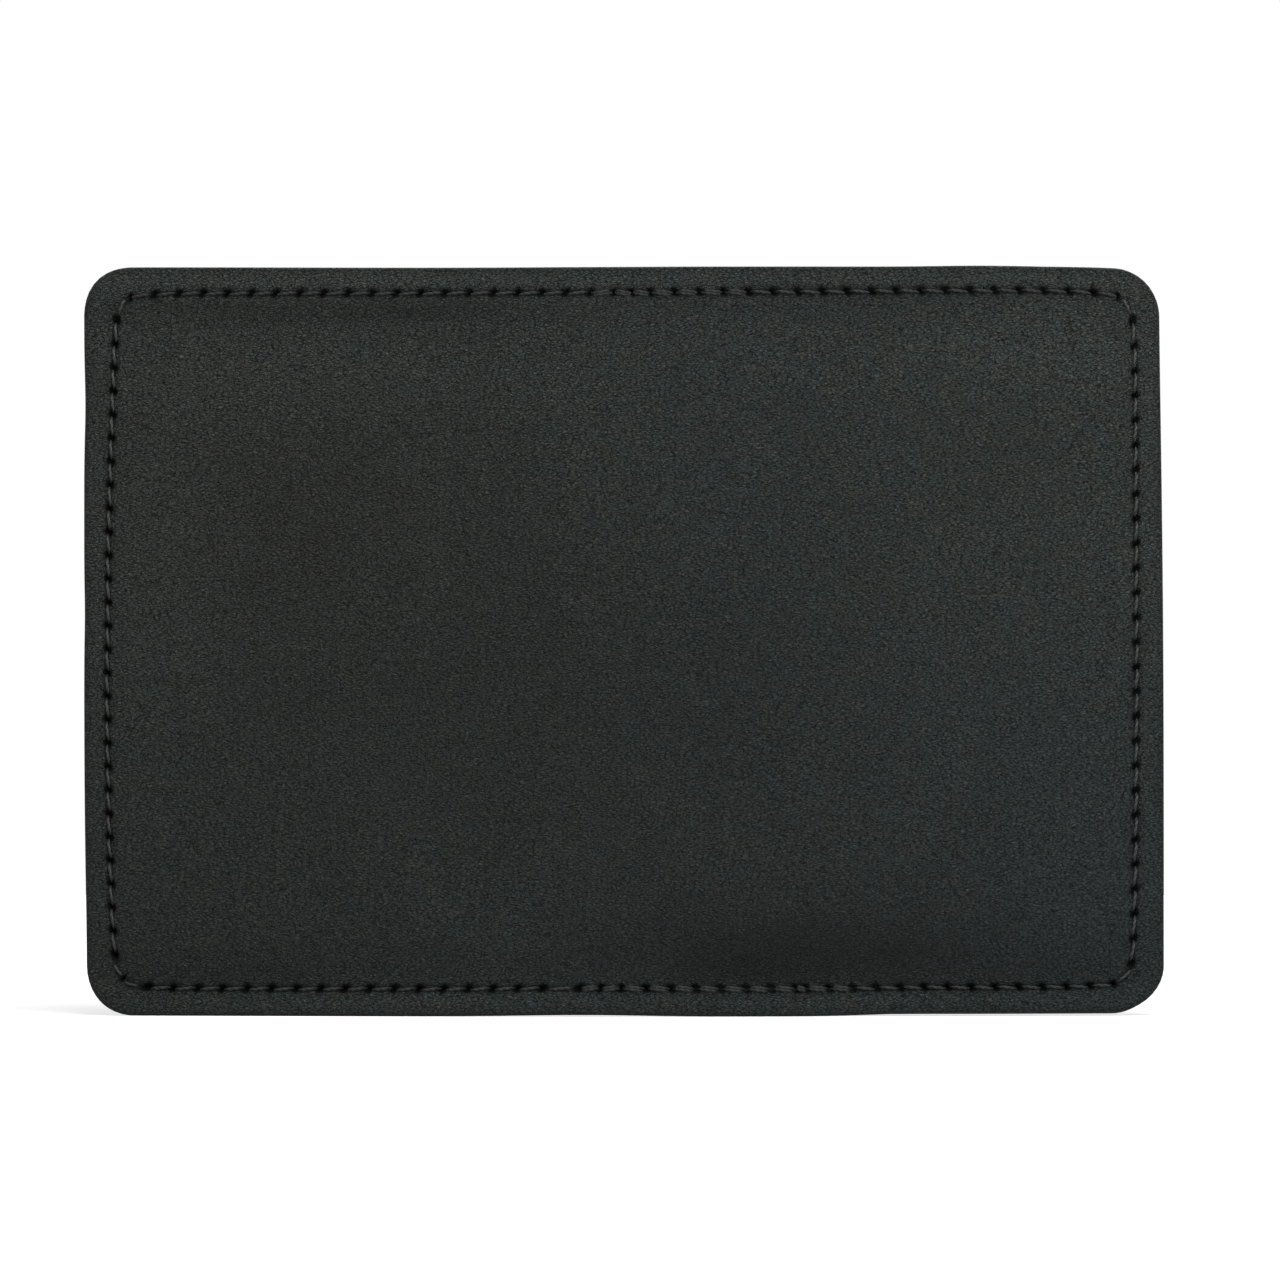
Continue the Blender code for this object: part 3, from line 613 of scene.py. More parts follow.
def band_place(s, d, side):
    """Flat x and z at the way s and the distance d; the swells die out towards the panel."""
    x, z, nx, nz = edge_frame(s)
    push = np.where(s < TOTAL / 2, *CORNER_PUSH[side]) * (2 * nx * nz) ** 2
    reach = d + (inset(EDGE_INSET, s, side, x, z, nx, nz) - push) * np.clip(1 - d / CORNER, 0, 1)
    return x + nx * reach, z + nz * reach


print("edge of one half:", round(TOTAL, 1), "mm")

# %% [markdown]
# The stitches are about 3.5 mm long. The row was sewn round once and overlaps itself at the
# middle of the top and of the bottom, which is where the spacing jumps. Evenly spaced holes would
# be simpler but would miss that, so each row is given as first hole, last hole and number of
# stitches, in pixels of the photograph.

# %% Needle holes
TOP_ROWS_PX = ((130, 614, 20), (632, 632, 0), (650, 1118, 19))
BOTTOM_ROWS_PX = ((148, 542, 16), (580, 621, 2), (646, 797, 6), (806, 1114, 13))
SIDE_ROW_PX = {-1: (954, 321, 27), 1: (963, 322, 26)}
EXTRA_CORNER_TURN = {-1: (0.7,), 1: ()}
BEYOND_MIDDLE = 8.0


def spread(rows):
    """Even numbers from first to last in every row."""
    return np.concatenate([np.linspace(first, last, count + 1) for first, last, count in rows])


def needle_holes(side):
    """The way s of every hole of a half, with the nearest ones of the other half at both ends."""
    found = []
    for rows, is_top in ((BOTTOM_ROWS_PX, False), (TOP_ROWS_PX, True)):
        x = side * (spread(rows) - PHOTO_MIDDLE_PX) / PHOTO_SCALE
        x = np.where(x > FOLD, FOLD + (x - FOLD) / math.cos(SWEEP), x)
        x = x[x > -BEYOND_MIDDLE]
        beyond = np.clip((x - END_RUN) / (CORNER - SEAM_INSET["top"][0]), 0, 0.98)
        s = np.minimum(x, END_RUN) + CORNER * np.arcsin(beyond)
        found.append(TOTAL - s if is_top else s)
    heights = (PHOTO_BASE_PX - spread([SIDE_ROW_PX[side]])) / PHOTO_SCALE
    found.append(MARKS[2] + np.clip(heights - CORNER, 0, SIDE_RUN))
    found.append(MARKS[1] + CORNER * np.array(EXTRA_CORNER_TURN[side]))
    return np.sort(np.concatenate(found))


holes = {side: needle_holes(side) for side in (-1, 1)}
print("holes left and right:", [int(((h >= 0) & (h <= TOTAL)).sum()) for h in holes.values()])

# %% [markdown]
# ## The face of the outer leather
#
# The face isn't flat. It swells a little over the pockets, is drawn in along the seam, puckers at
# every hole and keeps the soft dents and creases of handling. It could be sculpted by brush, or a
# cloth could be pressed over the pockets, but these depths are tenths of a millimetre. So each is
# a term of one depth function. The tucks beside the seam and the creases come first.

# %% Tucks and creases
# middle x, middle z, half length, width above, width below, depth (mm)
TUCKS = (
    (-40.0, 99.0, 34.0, 2.8, 10.0, 0.52),
    (36.0, 102.3, 29.0, 1.7, 6.0, 0.22),
    (-58.0, 3.4, 24.0, 4.2, 2.0, 0.36),
    (30.0, 3.2, 40.0, 8.5, 2.0, 0.62),
    (24.0, 6.0, 16.0, 6.0, 3.0, 0.22),
    (-34.0, 60.0, 26.0, 20.0, 22.0, -0.22),
    (42.0, 64.0, 24.0, 24.0, 22.0, -0.2),
)
# start and end in pixels, sag and depth in mm, how many lie side by side
CREASES = (
    ((196, 566), (292, 604), 1.6, 0.051, 3),
    ((420, 742), (618, 688), -1.2, 0.043, 4),
    ((880, 556), (962, 541), 0.7, 0.043, 2),
    ((700, 300), (830, 318), 0.8, 0.051, 2),
    ((930, 905), (1080, 930), 1.4, 0.051, 3),
    ((160, 930), (330, 962), -1.5, 0.051, 3),
    ((520, 420), (560, 520), 1.1, 0.025, 2),
)
CREASE_WIDTH, CREASE_SPACING = 0.32, 1.5


def flat_bell(t):
    """1 in the middle with steep shoulders: exp(-t^4)."""
    return np.exp(-(t**4))


def crease_lines(x, z):
    """Sags along parabolas: depth times a narrow bell across and a sine along, side by side."""
    depth = np.zeros_like(x)
    for (x0, y0), (x1, y1), sag, deep, count in CREASES:
        start = np.array([x0 - PHOTO_MIDDLE_PX, PHOTO_BASE_PX - y0]) / PHOTO_SCALE
        end = np.array([x1 - PHOTO_MIDDLE_PX, PHOTO_BASE_PX - y1]) / PHOTO_SCALE
        length = np.hypot(*(end - start))
        way = (end - start) / length
        p = ((x - start[0]) * way[0] + (z - start[1]) * way[1]) / length
        q = (z - start[1]) * way[0] - (x - start[0]) * way[1]
        for number in range(count):
            spacing = CREASE_SPACING * (1 + 0.2 * math.sin(5 * number + x0))
            offset = (number - (count - 1) / 2) * spacing
            line = q - offset - sag * 4 * p * (1 - p) - 0.12 * np.sin(9 * p + number)
            fade = np.sin(math.pi * np.clip(p, 0, 1)) ** 2
            depth += deep * fade * bell(line / CREASE_WIDTH)
    return depth


print(len(TUCKS), "tucks and swells,", sum(crease[-1] for crease in CREASES), "creases")

# %% [markdown]
# Away from the seam, the panel swells by a quarter of a millimetre over the pockets and less over
# the spine. Two scales of folded noise give fine wrinkles: 1 - |noise| has sharp ridges where
# plain noise has round hills. Near the spine's middle the unevenness dies out, so that both
# halves meet.

# %% Depth of the panel
PADDING, SPINE_PADDING = 0.24, 0.35
PANEL_FROM_TOP, PANEL_FROM_BOTTOM, PANEL_RAMP = 4.4, 4.2, 2.6
SPINE_RAMP = (6.5, 6.0)
CALM_FROM, CALM_RAMP = 0.4, 2.5
# cell in mm, seed and height in mm of the slow unevenness
SLOW = ((17.0, 5, 0.05), (7.0, 6, 0.018))
RIDGE_HEIGHT, FINE_HEIGHT = 0.03, 0.012


def uneven(x, z, side, cell, seed):
    """The noise at a flat place of one half. Both halves share one lattice."""
    return value_noise(side * x + 80, z, cell, seed)


def panel_depth(x, z, side):
    """How deep the face lies away from the seam, in mm: padding, tucks, creases and wrinkles."""
    ramps = [WALLET_HEIGHT - z - PANEL_FROM_TOP, z - PANEL_FROM_BOTTOM, SPAN - x - PANEL_FROM_TOP]
    inside = np.prod([1 - bell(np.maximum(a, 0) / PANEL_RAMP) for a in ramps], axis=0)
    over_pockets = SPINE_PADDING + (1 - SPINE_PADDING) * ease((x - SPINE_RAMP[0]) / SPINE_RAMP[1])
    depth = -PADDING * inside * over_pockets
    for middle, height, long, above, below, deep in TUCKS:
        width = np.where(z > height, above, below)
        depth += deep * flat_bell((side * x - middle) / long) * bell((z - height) / width)
    bent = x + 1.2 * uneven(x, z, side, 5.0, 3)
    ridges = 1 - np.abs(uneven(bent, 1.7 * z, side, 2.6, 11))
    fine = 1 - np.abs(uneven(bent, 1.5 * z, side, 1.3, 12))
    slow = sum(high * uneven(x, z, side, cell, seed) for cell, seed, high in SLOW)
    calm = ease((x - CALM_FROM) / CALM_RAMP)
    wrinkles = slow + RIDGE_HEIGHT * ridges**3 + FINE_HEIGHT * fine**2
    depth += calm * (wrinkles + crease_lines(side * x, z))
    return depth


middle_depth = float(panel_depth(np.array([40.0]), np.array([54.0]), 1)[0])
print("the panel's middle stands out by", round(-middle_depth, 2), "mm")

# %% [markdown]
# At the seam the thread draws the leather into a groove, and each hole is a small dish with a
# raised rim. The dish leans with the stitch. A boolean cut would make sharp holes; a dish in the
# grid keeps the mesh closed and looks pulled in, as sewn leather does.

# %% Depth at the seam
MARGIN_SWELL, MARGIN_AT = 0.1, 1.9
GROOVE_DEPTH, GROOVE_WIDTH = 0.2, 0.55
DRAWN_IN, DRAWN_WIDTH = 0.1, 1.5
HOLE_DEPTH, HOLE_LEAN = 0.7, 0.28
RIM_HEIGHT, RIM_AT, RIM_WIDTH = 0.05, 1.9, 0.45


def seam_depth(s_from_hole, v, edge_distance):
    """How deep the face lies at the seam: margin swell, groove, and a dished hole with a rim."""
    depth = -MARGIN_SWELL * bell(edge_distance - MARGIN_AT)
    depth += GROOVE_DEPTH * bell(v / GROOVE_WIDTH) + DRAWN_IN * bell(v / DRAWN_WIDTH)
    r2 = ((s_from_hole + HOLE_LEAN * v) / HOLE_LONG) ** 2 + (v / HOLE_WIDE) ** 2
    depth += HOLE_DEPTH * np.exp(-(r2**1.5))
    depth -= RIM_HEIGHT * bell((np.sqrt(r2) - RIM_AT) / RIM_WIDTH)
    return depth


hole_depth = float(seam_depth(0.0, 0.0, 4.0))
print("a needle hole is", round(hole_depth, 2), "mm deep")

# %% [markdown]
# The tone goes with the shape and the light: leather is painted darker where it is drawn in,
# in painted shade, and paler where more light falls on it, in painted light. The hue drifts too,
# warmer at the upper left and bluer at the lower right. Painting would need an image, so both are
# sums of soft hills, stored at the mesh's points.

# %% Painted light and shade, and hues
# middle x, middle z, half width, half height, change of tone by painted light and shade
SHADE_AND_LIGHT_HILLS = (
    (-40.0, 101.8, 34.0, 2.3, -0.36),
    (36.0, 104.2, 27.0, 1.4, -0.25),
    (-59.0, 6.0, 17.0, 3.0, -0.14),
    (17.0, 6.0, 8.0, 3.5, -0.2),
    (22.0, 10.0, 22.0, 7.0, -0.2),
    (40.0, 7.0, 32.0, 5.0, -0.2),
    (24.0, 9.0, 27.0, 4.0, -0.15),
    (-40.0, 93.5, 36.0, 5.5, 0.2),
    (38.0, 94.0, 32.0, 6.5, 0.14),
    (-74.0, 64.0, 13.0, 42.0, 0.2),
    (74.0, 74.0, 13.0, 42.0, 0.22),
    (-56.0, 97.0, 28.0, 9.0, 0.1),
    (48.0, 74.0, 22.0, 32.0, 0.1),
    (-16.0, 50.0, 26.0, 22.0, -0.05),
    (38.0, 14.0, 22.0, 6.0, -0.08),
    (-48.0, 106.0, 34.0, 2.2, 0.2),
    (-45.0, 104.2, 42.0, 1.3, 0.2),
    (0.0, 3.8, 78.0, 1.3, 0.25),
    (58.0, 97.0, 22.0, 6.0, 0.14),
    (64.0, 97.5, 15.0, 6.0, 0.14),
    (70.0, 18.0, 12.0, 12.0, 0.08),
    (-45.0, 9.0, 32.0, 3.0, -0.12),
    (-30.0, 7.0, 26.0, 3.0, -0.07),
    (30.0, 1.9, 40.0, 1.3, 0.15),
    (-38.0, 1.9, 24.0, 1.3, 0.08),
    (2.0, 1.9, 10.0, 1.5, -0.1),
    (-28.0, 66.5, 1.6, 7.0, 0.12),
    (0.0, 44.0, 21.0, 22.0, -0.14),
    (58.0, 54.0, 26.0, 50.0, 0.18),
    (14.0, 80.0, 20.0, 20.0, 0.08),
    (26.0, 15.0, 24.0, 5.0, -0.07),
    (-66.0, 62.0, 11.0, 24.0, 0.14),
    (44.0, 8.0, 34.0, 6.0, -0.12),
    (0.0, 11.0, 22.0, 6.0, -0.06),
    (-54.0, 94.0, 18.0, 10.0, 0.06),
    (-28.0, 62.0, 20.0, 16.0, -0.07),
    (44.0, 97.0, 18.0, 7.0, -0.06),
)
# the same for the hue, where a change of 1 turns green black into brown black
WARM_PLACES = (
    (-50.0, 76.0, 34.0, 26.0, 0.3),
    (16.0, 64.0, 15.0, 42.0, -0.15),
    (68.0, 12.0, 26.0, 28.0, -0.45),
    (50.0, 42.0, 24.0, 16.0, -0.14),
    (0.0, 6.0, 48.0, 10.0, -0.14),
)
# Painted light along the margin, stronger at the ends; painted shade at the very edge.
CLOUD_TONE, MARGIN_PAINTED_LIGHT, END_MARGIN_PAINTED_LIGHT = 0.05, 0.1, 0.24
EDGE_SHADE, EDGE_WIDTH = 0.45, 0.45


def hills(table, x, z):
    """Sum of change * exp(-((x - middle x) / half width)^2 - ((z - middle z) / half height)^2)."""
    return sum(change * np.exp(-(((x - middle) / wide) ** 2) - ((z - height) / high) ** 2)
               for middle, height, wide, high, change in table)


def leather_painted_light_and_tone(x, z, side, edge_distance):
    """1 for plain leather, less in painted shade where it is drawn in, more in painted light."""
    painted_light_and_tone = 1 + hills(SHADE_AND_LIGHT_HILLS, side * x, z)
    painted_light_and_tone += CLOUD_TONE * uneven(x, z, side, 9.0, 21) + CLOUD_TONE * uneven(x, z, side, 3.0, 22)
    ends = ease(1.5 - np.minimum(z, WALLET_HEIGHT - z) / 4.0)
    margin = (MARGIN_PAINTED_LIGHT + END_MARGIN_PAINTED_LIGHT * ends) * bell((edge_distance - 2.1) / 1.2)
    return painted_light_and_tone + margin - EDGE_SHADE * bell(edge_distance / EDGE_WIDTH)


print(len(SHADE_AND_LIGHT_HILLS), "hills of tone,", len(WARM_PLACES), "of hue")


# %% [markdown]
# ## The outer leather
#
# Each half of the cover is one closed mesh that ends at the spine's middle. A plain grid with
# some thickness would be jagged at the round corners and too coarse at the holes. So a band of
# columns follows the edge: it starts at the hem inside, wraps round the turned edge and crosses
# the seam, with its columns crowded at the needle holes.

# %% Columns and rows of the cover
STEP = 0.35
END_STEPS = round(END_RUN / STEP)
SIDE_STEPS = round(SIDE_RUN / STEP)
ARC_STEPS = 14
CROWDING = 0.6
# distance from the edge and depth, from the hem's inner edge round to the face
WRAP = np.array([
    (6.8, 1.0), (6.65, 1.6), (3.5, 1.6), (1.0, 1.6), (0.45, 1.56), (0.16, 1.4), (0.03, 1.12),
    (0.0, 0.8), (0.04, 0.52), (0.16, 0.27), (0.38, 0.1), (0.7, 0.02)])
MARGIN_SHARES = np.array([0.0, 0.25, 0.5, 0.75])
BESIDE_SEAM = np.array([0.12, 0.25, 0.4, 0.55, 0.75, 1.0])
SEAM_OFFSETS = np.concatenate([-BESIDE_SEAM[::-1], [0.0], BESIDE_SEAM])
INNER_SHARES = np.array([0.2, 0.4, 0.6, 0.8])
MARGIN_START = 1.0


def column_ways():
    """Even columns along the straights and round the corners."""
    counts = (END_STEPS, ARC_STEPS, SIDE_STEPS, ARC_STEPS, END_STEPS)
    runs = [np.linspace(a, b, n + 1)[:-1] for a, b, n in zip(MARKS, MARKS[1:], counts)]
    return np.append(np.concatenate(runs), TOTAL)


def crowded(s, side):
    """Moves columns towards the holes: phase p becomes p - CROWDING sin(2 pi p) / 2 pi."""
    count = np.arange(len(holes[side]))
    phase = np.interp(s, holes[side], count)
    closer = phase - CROWDING * np.sin(2 * math.pi * phase) / (2 * math.pi)
    moved = np.interp(closer, count, holes[side])
    ends = ease(np.minimum(s, TOTAL - s) / 1.5)
    return s + (moved - s) * ends


def from_nearest_hole(s, side):
    """Phase along the stitches, and the way to the nearest hole in mm."""
    count = np.arange(len(holes[side]))
    phase = np.interp(s, holes[side], count)
    nearest = np.interp(np.round(phase), count, holes[side])
    return phase, s - nearest


def band_rows(seam_at):
    """Distances from the edge: wrap, margin, seam and inner rows, for every column."""
    wrap = np.repeat(WRAP[:, :1], len(seam_at), 1)
    margin = MARGIN_START + MARGIN_SHARES[:, None] * (seam_at - 1 - MARGIN_START)
    seam_rows = seam_at + SEAM_OFFSETS[:, None]
    inner = seam_at + 1 + INNER_SHARES[:, None] * (CORNER - seam_at - 1)
    unfaded = np.ones(len(WRAP) + len(MARGIN_SHARES) + len(SEAM_OFFSETS))
    fades = np.concatenate([unfaded, (1 - INNER_SHARES) ** 2])
    return np.concatenate([wrap, margin, seam_rows, inner]), fades[:, None]


print(len(column_ways()), "columns, grid of", END_STEPS, "by", SIDE_STEPS)

# %% [markdown]
# The band's last row is also the rim of a plain grid that fills the panel, and at a corner the
# rim shrinks to a point. Rungs across the back close the solid, and a flat face ends it at the
# middle, where the other half goes on. The mesh editor's grid fill could do this too, but not
# every time alike.

# %% Faces of the cover
def leather_faces(rows, columns):
    """Faces of the band, its joint with the grid, the grid, the back's rungs and the flat end."""
    band = np.arange(rows * columns).reshape(rows, columns)
    across, up = END_STEPS + 1, SIDE_STEPS + 1
    grid = rows * columns + np.arange(across * up).reshape(across, up)
    last = np.concatenate([grid[:-1, 0], np.full(ARC_STEPS, grid[-1, 0]), grid[-1, :-1],
                           np.full(ARC_STEPS, grid[-1, -1]), grid[::-1, -1]])
    join = np.stack([band[-1, :-1], band[-1, 1:], last[1:], last[:-1]], -1)
    pinched = last[1:] == last[:-1]
    end = columns - 1
    corner = END_STEPS + ARC_STEPS - 1
    c = np.arange(corner)
    rungs = np.stack([band[0, c + 1], band[0, c], band[0, end - c], band[0, end - c - 1]], -1)
    far_side = band[0, corner : end - corner + 1][::-1][None]
    middle = np.concatenate([band[:, 0], grid[0], band[::-1, -1]])[None]
    joint = [join[~pinched], join[pinched][:, :3]]
    groups = [grid_quads(band)[:, ::-1], *joint, grid_quads(grid), rungs, far_side, middle]
    return groups, len(rungs) + 2


cover_rows = len(WRAP) + len(MARGIN_SHARES) + len(SEAM_OFFSETS) + len(INNER_SHARES)
cover_groups, cover_flat = leather_faces(cover_rows, len(column_ways()))
cover_faces = sum(len(group) for group in cover_groups)
print("each half has", cover_faces, "faces,", cover_flat, "of them flat")

# %% [markdown]
# Now the pieces are put together: the band with its depth at the seam and the panel's depth, the
# panel with its own, and at each point the tone with its painted light and shade, the hue and the
# place along the seam, which the finish looks up. On the hem and round the edge the seam is far
# away, so no painted hole shadow darkens them.

# %% Outer leather
OFF_THE_SEAM, FAR_FROM_EDGE = 9.0, 99.0
SHOWN_WRAP, WRAP_START = 0.5, 0.1


def make_outer_leather(side, name):
    """One half of the cover: band and panel laid flat with their depths, then folded."""
    even = column_ways()
    d, fades = band_rows(seam_inset(even, side))
    s = even + (crowded(even, side) - even) * fades
    x, z = band_place(s, d, side)
    v = d - seam_inset(s, side)
    phase, away = from_nearest_hole(s, side)
    face = seam_depth(away, v, d) + panel_depth(x, z, side)
    wraps = len(WRAP)
    shown = ease(d[:wraps] - WRAP_START) * (WRAP[:, 1:] < SHOWN_WRAP)
    face[:wraps] = WRAP[:, 1:] + face[:wraps] * shown
    gx, gz = np.meshgrid(np.linspace(0, END_RUN, END_STEPS + 1),
                         np.linspace(CORNER, WALLET_HEIGHT - CORNER, SIDE_STEPS + 1), indexing="ij")
    flat = np.concatenate([np.stack([x, face, z], -1).reshape(-1, 3),
                           np.stack([gx, panel_depth(gx, gz, side), gz], -1).reshape(-1, 3)])
    painted_light_and_tone = np.concatenate([leather_painted_light_and_tone(x, z, side, d).ravel(),
                           leather_painted_light_and_tone(gx, gz, side, FAR_FROM_EDGE).ravel()])
    seam_at = np.zeros((len(flat), 3))
    seam_at[:, 1] = OFF_THE_SEAM
    seam_at[: x.size, 0], seam_at[: x.size, 1] = phase.ravel(), v.ravel()
    seam_at[: wraps * x.shape[1], 1] = OFF_THE_SEAM
    faces, flat_count = leather_faces(*x.shape)
    warmth = hills(WARM_PLACES, side * flat[:, 0], flat[:, 2])
    attributes = {"place": flat * (side, 1, 1), "painted_light_and_tone": painted_light_and_tone[:, None],
                  "warmth": warmth[:, None], "seam": seam_at}
    piece = new_piece(name, fold(flat, side), faces, outer_finish, attributes, flat_count)
    return blend_across_fold(piece, side)


for side, label in ((-1, "left"), (1, "right")):
    cover = make_outer_leather(side, f"outer_leather_{label}")
    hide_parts(f"{label}_outer_leather", "spine_outer_leather")
    print(cover.name, len(cover.data.vertices), "points")

# %% [markdown]
# ## Thread
#
# The thread is black, waxed and twisted. Three strands could be modelled one by one, but at this
# size a bump does as well, with painted highlight on the strands and painted shade between them.
# It needs the way along the thread and the angle round it. The angle jumps from 360 back to 0
# degrees, so each point stores the cosine and sine of twice the angle instead, and the shader
# builds the twisted strands from those.

# %% Thread finish
STRAND_PITCH = 0.9
FIBRE_SCALE, FIBRE_HEIGHT, THREAD_RELIEF = 9.0, 0.5, 0.00004
THREAD_STRAND_SHADE, THREAD_STRAND_HIGHLIGHT = (0.006, 0.007, 0.007), (0.031, 0.033, 0.031)
THREAD_HOLE_SHADE = (0.002, 0.002, 0.002)
UNWAXED_ROUGHNESS, WAXED_ROUGHNESS = 0.9, 0.5
thread_finish, thread_tree, thread_shader = new_material("black_thread", 0.5, 0.25)
thread_shader.inputs["Sheen Weight"].default_value = 0.08
thread_shader.inputs["Sheen Roughness"].default_value = 0.4
wind = add_node(thread_tree, "ShaderNodeSeparateXYZ", {0: pattern_place(thread_tree, "wind")})
turn_angle = calc(thread_tree, "MULTIPLY", wind.outputs[0], 2 * math.pi / STRAND_PITCH)
cosine, sine = [calc(thread_tree, kind, turn_angle) for kind in ("COSINE", "SINE")]
by_sine = calc(thread_tree, "MULTIPLY", sine, wind.outputs[1])
strands = calc(thread_tree, "MULTIPLY_ADD", cosine, wind.outputs[2], by_sine)
fibres = noise(thread_tree, pattern_place(thread_tree, "wind"), FIBRE_SCALE, 3.0)
thread_height = calc(thread_tree, "MULTIPLY_ADD", fibres, FIBRE_HEIGHT, strands)
feed(thread_shader, "Normal", bump(thread_tree, thread_height, THREAD_RELIEF))
# Painted highlight along the strands' ridges and painted shade between them.
strand_light_and_shade = mixed(thread_tree, ranged(thread_tree, strands, -1.0, 1.0), THREAD_STRAND_SHADE, THREAD_STRAND_HIGHLIGHT)
# lit: painted shade where the thread dives into a hole and on the top and bottom runs, also
# rougher.
lit = point_value(thread_tree, "lit")
roughness = ranged(thread_tree, lit, 0.4, 1.0, UNWAXED_ROUGHNESS, WAXED_ROUGHNESS)
feed(thread_shader, "Roughness", roughness)
feed(thread_shader, "Base Color", mixed(thread_tree, lit, THREAD_HOLE_SHADE, strand_light_and_shade))
print("thread:", len(thread_tree.nodes), "nodes")

# %% [markdown]
# A tube is a ring carried along a path. A curve with a bevel would be shorter to write, but gives
# no say in how the ring is turned. Here the ring lies square to the path, with one axis kept near
# a given up direction. Many paths go through at once, because the arrays keep them apart in their
# first dimension.

# %% Tubes
def unit(vectors):
    """Vectors divided by their lengths."""
    return vectors / np.linalg.norm(vectors, axis=-1, keepdims=True)


def tubes(path, up, across, high, sides):
    """Rings about each path point, centre + across cos(a) side + high sin(a) up, with faces."""
    along = unit(np.gradient(path, axis=1))
    sideways = unit(np.cross(along, up))
    upright = np.cross(sideways, along)
    angle = np.arange(sides) * 2 * math.pi / sides
    cos, sin = np.cos(angle)[:, None], np.sin(angle)[:, None]
    side_part, up_part = across * cos * sideways[:, :, None], high * sin * upright[:, :, None]
    rings = path[:, :, None] + side_part + up_part
    count, stations = path.shape[:2]
    numbers = np.arange(rings.size // 3).reshape(count, stations, sides)
    wrapped = np.concatenate([numbers, numbers[:, :, :1]], 2)
    quads = np.concatenate([grid_quads(one) for one in wrapped])
    step = np.linalg.norm(np.diff(path, axis=1), axis=-1) / MM
    way = np.concatenate([np.zeros((count, 1)), np.cumsum(step, 1)], 1)
    wound = np.broadcast_to(np.stack(np.broadcast_arrays(
        way[:, :, None], np.cos(2 * angle), np.sin(2 * angle)), -1), rings.shape)
    return rings, [quads, numbers[:, 0], numbers[:, -1, ::-1]], wound.reshape(-1, 3)


print("tube helpers: unit, tubes")

# %% [markdown]
# ## Stitches
#
# Each lock stitch leaves one side of a needle hole, lies in the groove and dives into the far
# side of the next hole, so all of them slant alike. The inside has the same rows, which climb
# over each pocket mouth. Copies of one modelled stitch couldn't follow the uneven holes, so every
# stitch gets its own path.

# %% Paths of the stitches
# side, name, layer, mouth from the fold in mm, and the next mouth if the pocket ends behind it
POCKETS = (
    (-1, "left_card_pocket_rear", 0, 4.0, 14.0),
    (-1, "left_card_pocket_middle", 1, 14.0, 24.0),
    (-1, "left_card_pocket_front", 2, 24.0, None),
    (1, "right_slip_pocket", 0, 4.0, None),
    (1, "right_card_pocket_rear", 1, 16.0, 27.0),
    (1, "right_card_pocket_front", 2, 27.0, None),
)
PLY_STEP, STEP_RAMP = 0.6, 0.7
LINING_TOP, SPINE_LINING_TOP, LINING_STEP_AT, LINING_RAMP = 2.1, 2.4, 6.0, 3.0
THREAD_ACROSS, THREAD_HIGH = 0.2, 0.16
SLANT = 0.2
STITCH_WAY = np.array([0.1, 0.155, 0.23, 0.35, 0.65, 0.77, 0.845, 0.9])
STITCH_DIP = np.array([0.85, 0.5, 0.18, 0.0, 0.0, 0.18, 0.5, 0.85])
STITCH_LIT = np.array([0.1, 0.3, 0.75, 1.0, 1.0, 0.75, 0.3, 0.1])
OUTER_LEVEL, INNER_LIFT, INNER_DIP = 0.15, 0.06, 0.7
WOBBLE, WOBBLE_RATE = 0.03, 7.3
OUTWARDS = 0.3


def lining_level(x, at_spine=SPINE_LINING_TOP):
    """Depth of a face of the lining: at_spine, less the step down where the boards begin."""
    return at_spine - (SPINE_LINING_TOP - LINING_TOP) * ease((x - LINING_STEP_AT) / LINING_RAMP)


def inner_level(x, side):
    """Depth of the inside's surface: the lining, then a step up at each pocket mouth."""
    level = lining_level(x)
    for mouth in [pocket[3] for pocket in POCKETS if pocket[0] == side]:
        level = level + PLY_STEP * ease((x - FOLD - mouth + STEP_RAMP) / STEP_RAMP)
    return level


def stitch_paths(start, end, side, shift, inside):
    """Centres of the stitches from hole to hole, and the direction out of the surface."""
    s = start[:, None] + (end - start)[:, None] * STITCH_WAY
    lean = SLANT * (1 - 2 * (STITCH_WAY - STITCH_WAY[0]) / (STITCH_WAY[-1] - STITCH_WAY[0]))
    wobble = WOBBLE * np.sin(WOBBLE_RATE * np.arange(len(start)))[:, None]
    d = seam_inset(s, side) + lean + shift + wobble
    x, z = band_place(s, d, side)
    if inside:
        w = inner_level(x, side) + INNER_LIFT - STITCH_DIP * INNER_DIP
    else:
        w = OUTER_LEVEL + panel_depth(x, z, side) + STITCH_DIP
    out = OUTWARDS if inside else -OUTWARDS
    return fold(np.stack([x, w, z], -1), side), fold(np.stack([x, w + out, z], -1), side)


print("a stitch has", len(STITCH_WAY), "rings")

# %% [markdown]
# Where the row overlaps itself, a second thread lies beside the first, so those stitches go
# through twice with a small shift. The stitches along the top and bottom are rougher and painted
# darker, a painted shade: how much is stored at the points, and the thread's finish looks it up.

# %% Stitches
BACK_TACK_TOP_PX = (566, 772)
BACK_TACK_BOTTOM_PX = (575, 855)
SINGLE, FIRST_OF_TWO, SECOND_OF_TWO = 0.0, -0.17, 0.2
BOTTOM_DULL_AND_SHADE, TOP_DULL_AND_SHADE = 0.35, 0.5
THREAD_SIDES = 6


def overlapping(s, side):
    """Which holes lie where the row of stitches overlaps itself."""
    x = side * np.where(s < TOTAL / 2, s, TOTAL - s) * PHOTO_SCALE + PHOTO_MIDDLE_PX
    limits = zip(BACK_TACK_BOTTOM_PX, BACK_TACK_TOP_PX)
    low, high = [np.where(s < TOTAL / 2, *pair) for pair in limits]
    ends = np.minimum(s, TOTAL - s) < END_RUN
    return ends & (x > low) & (x < high)


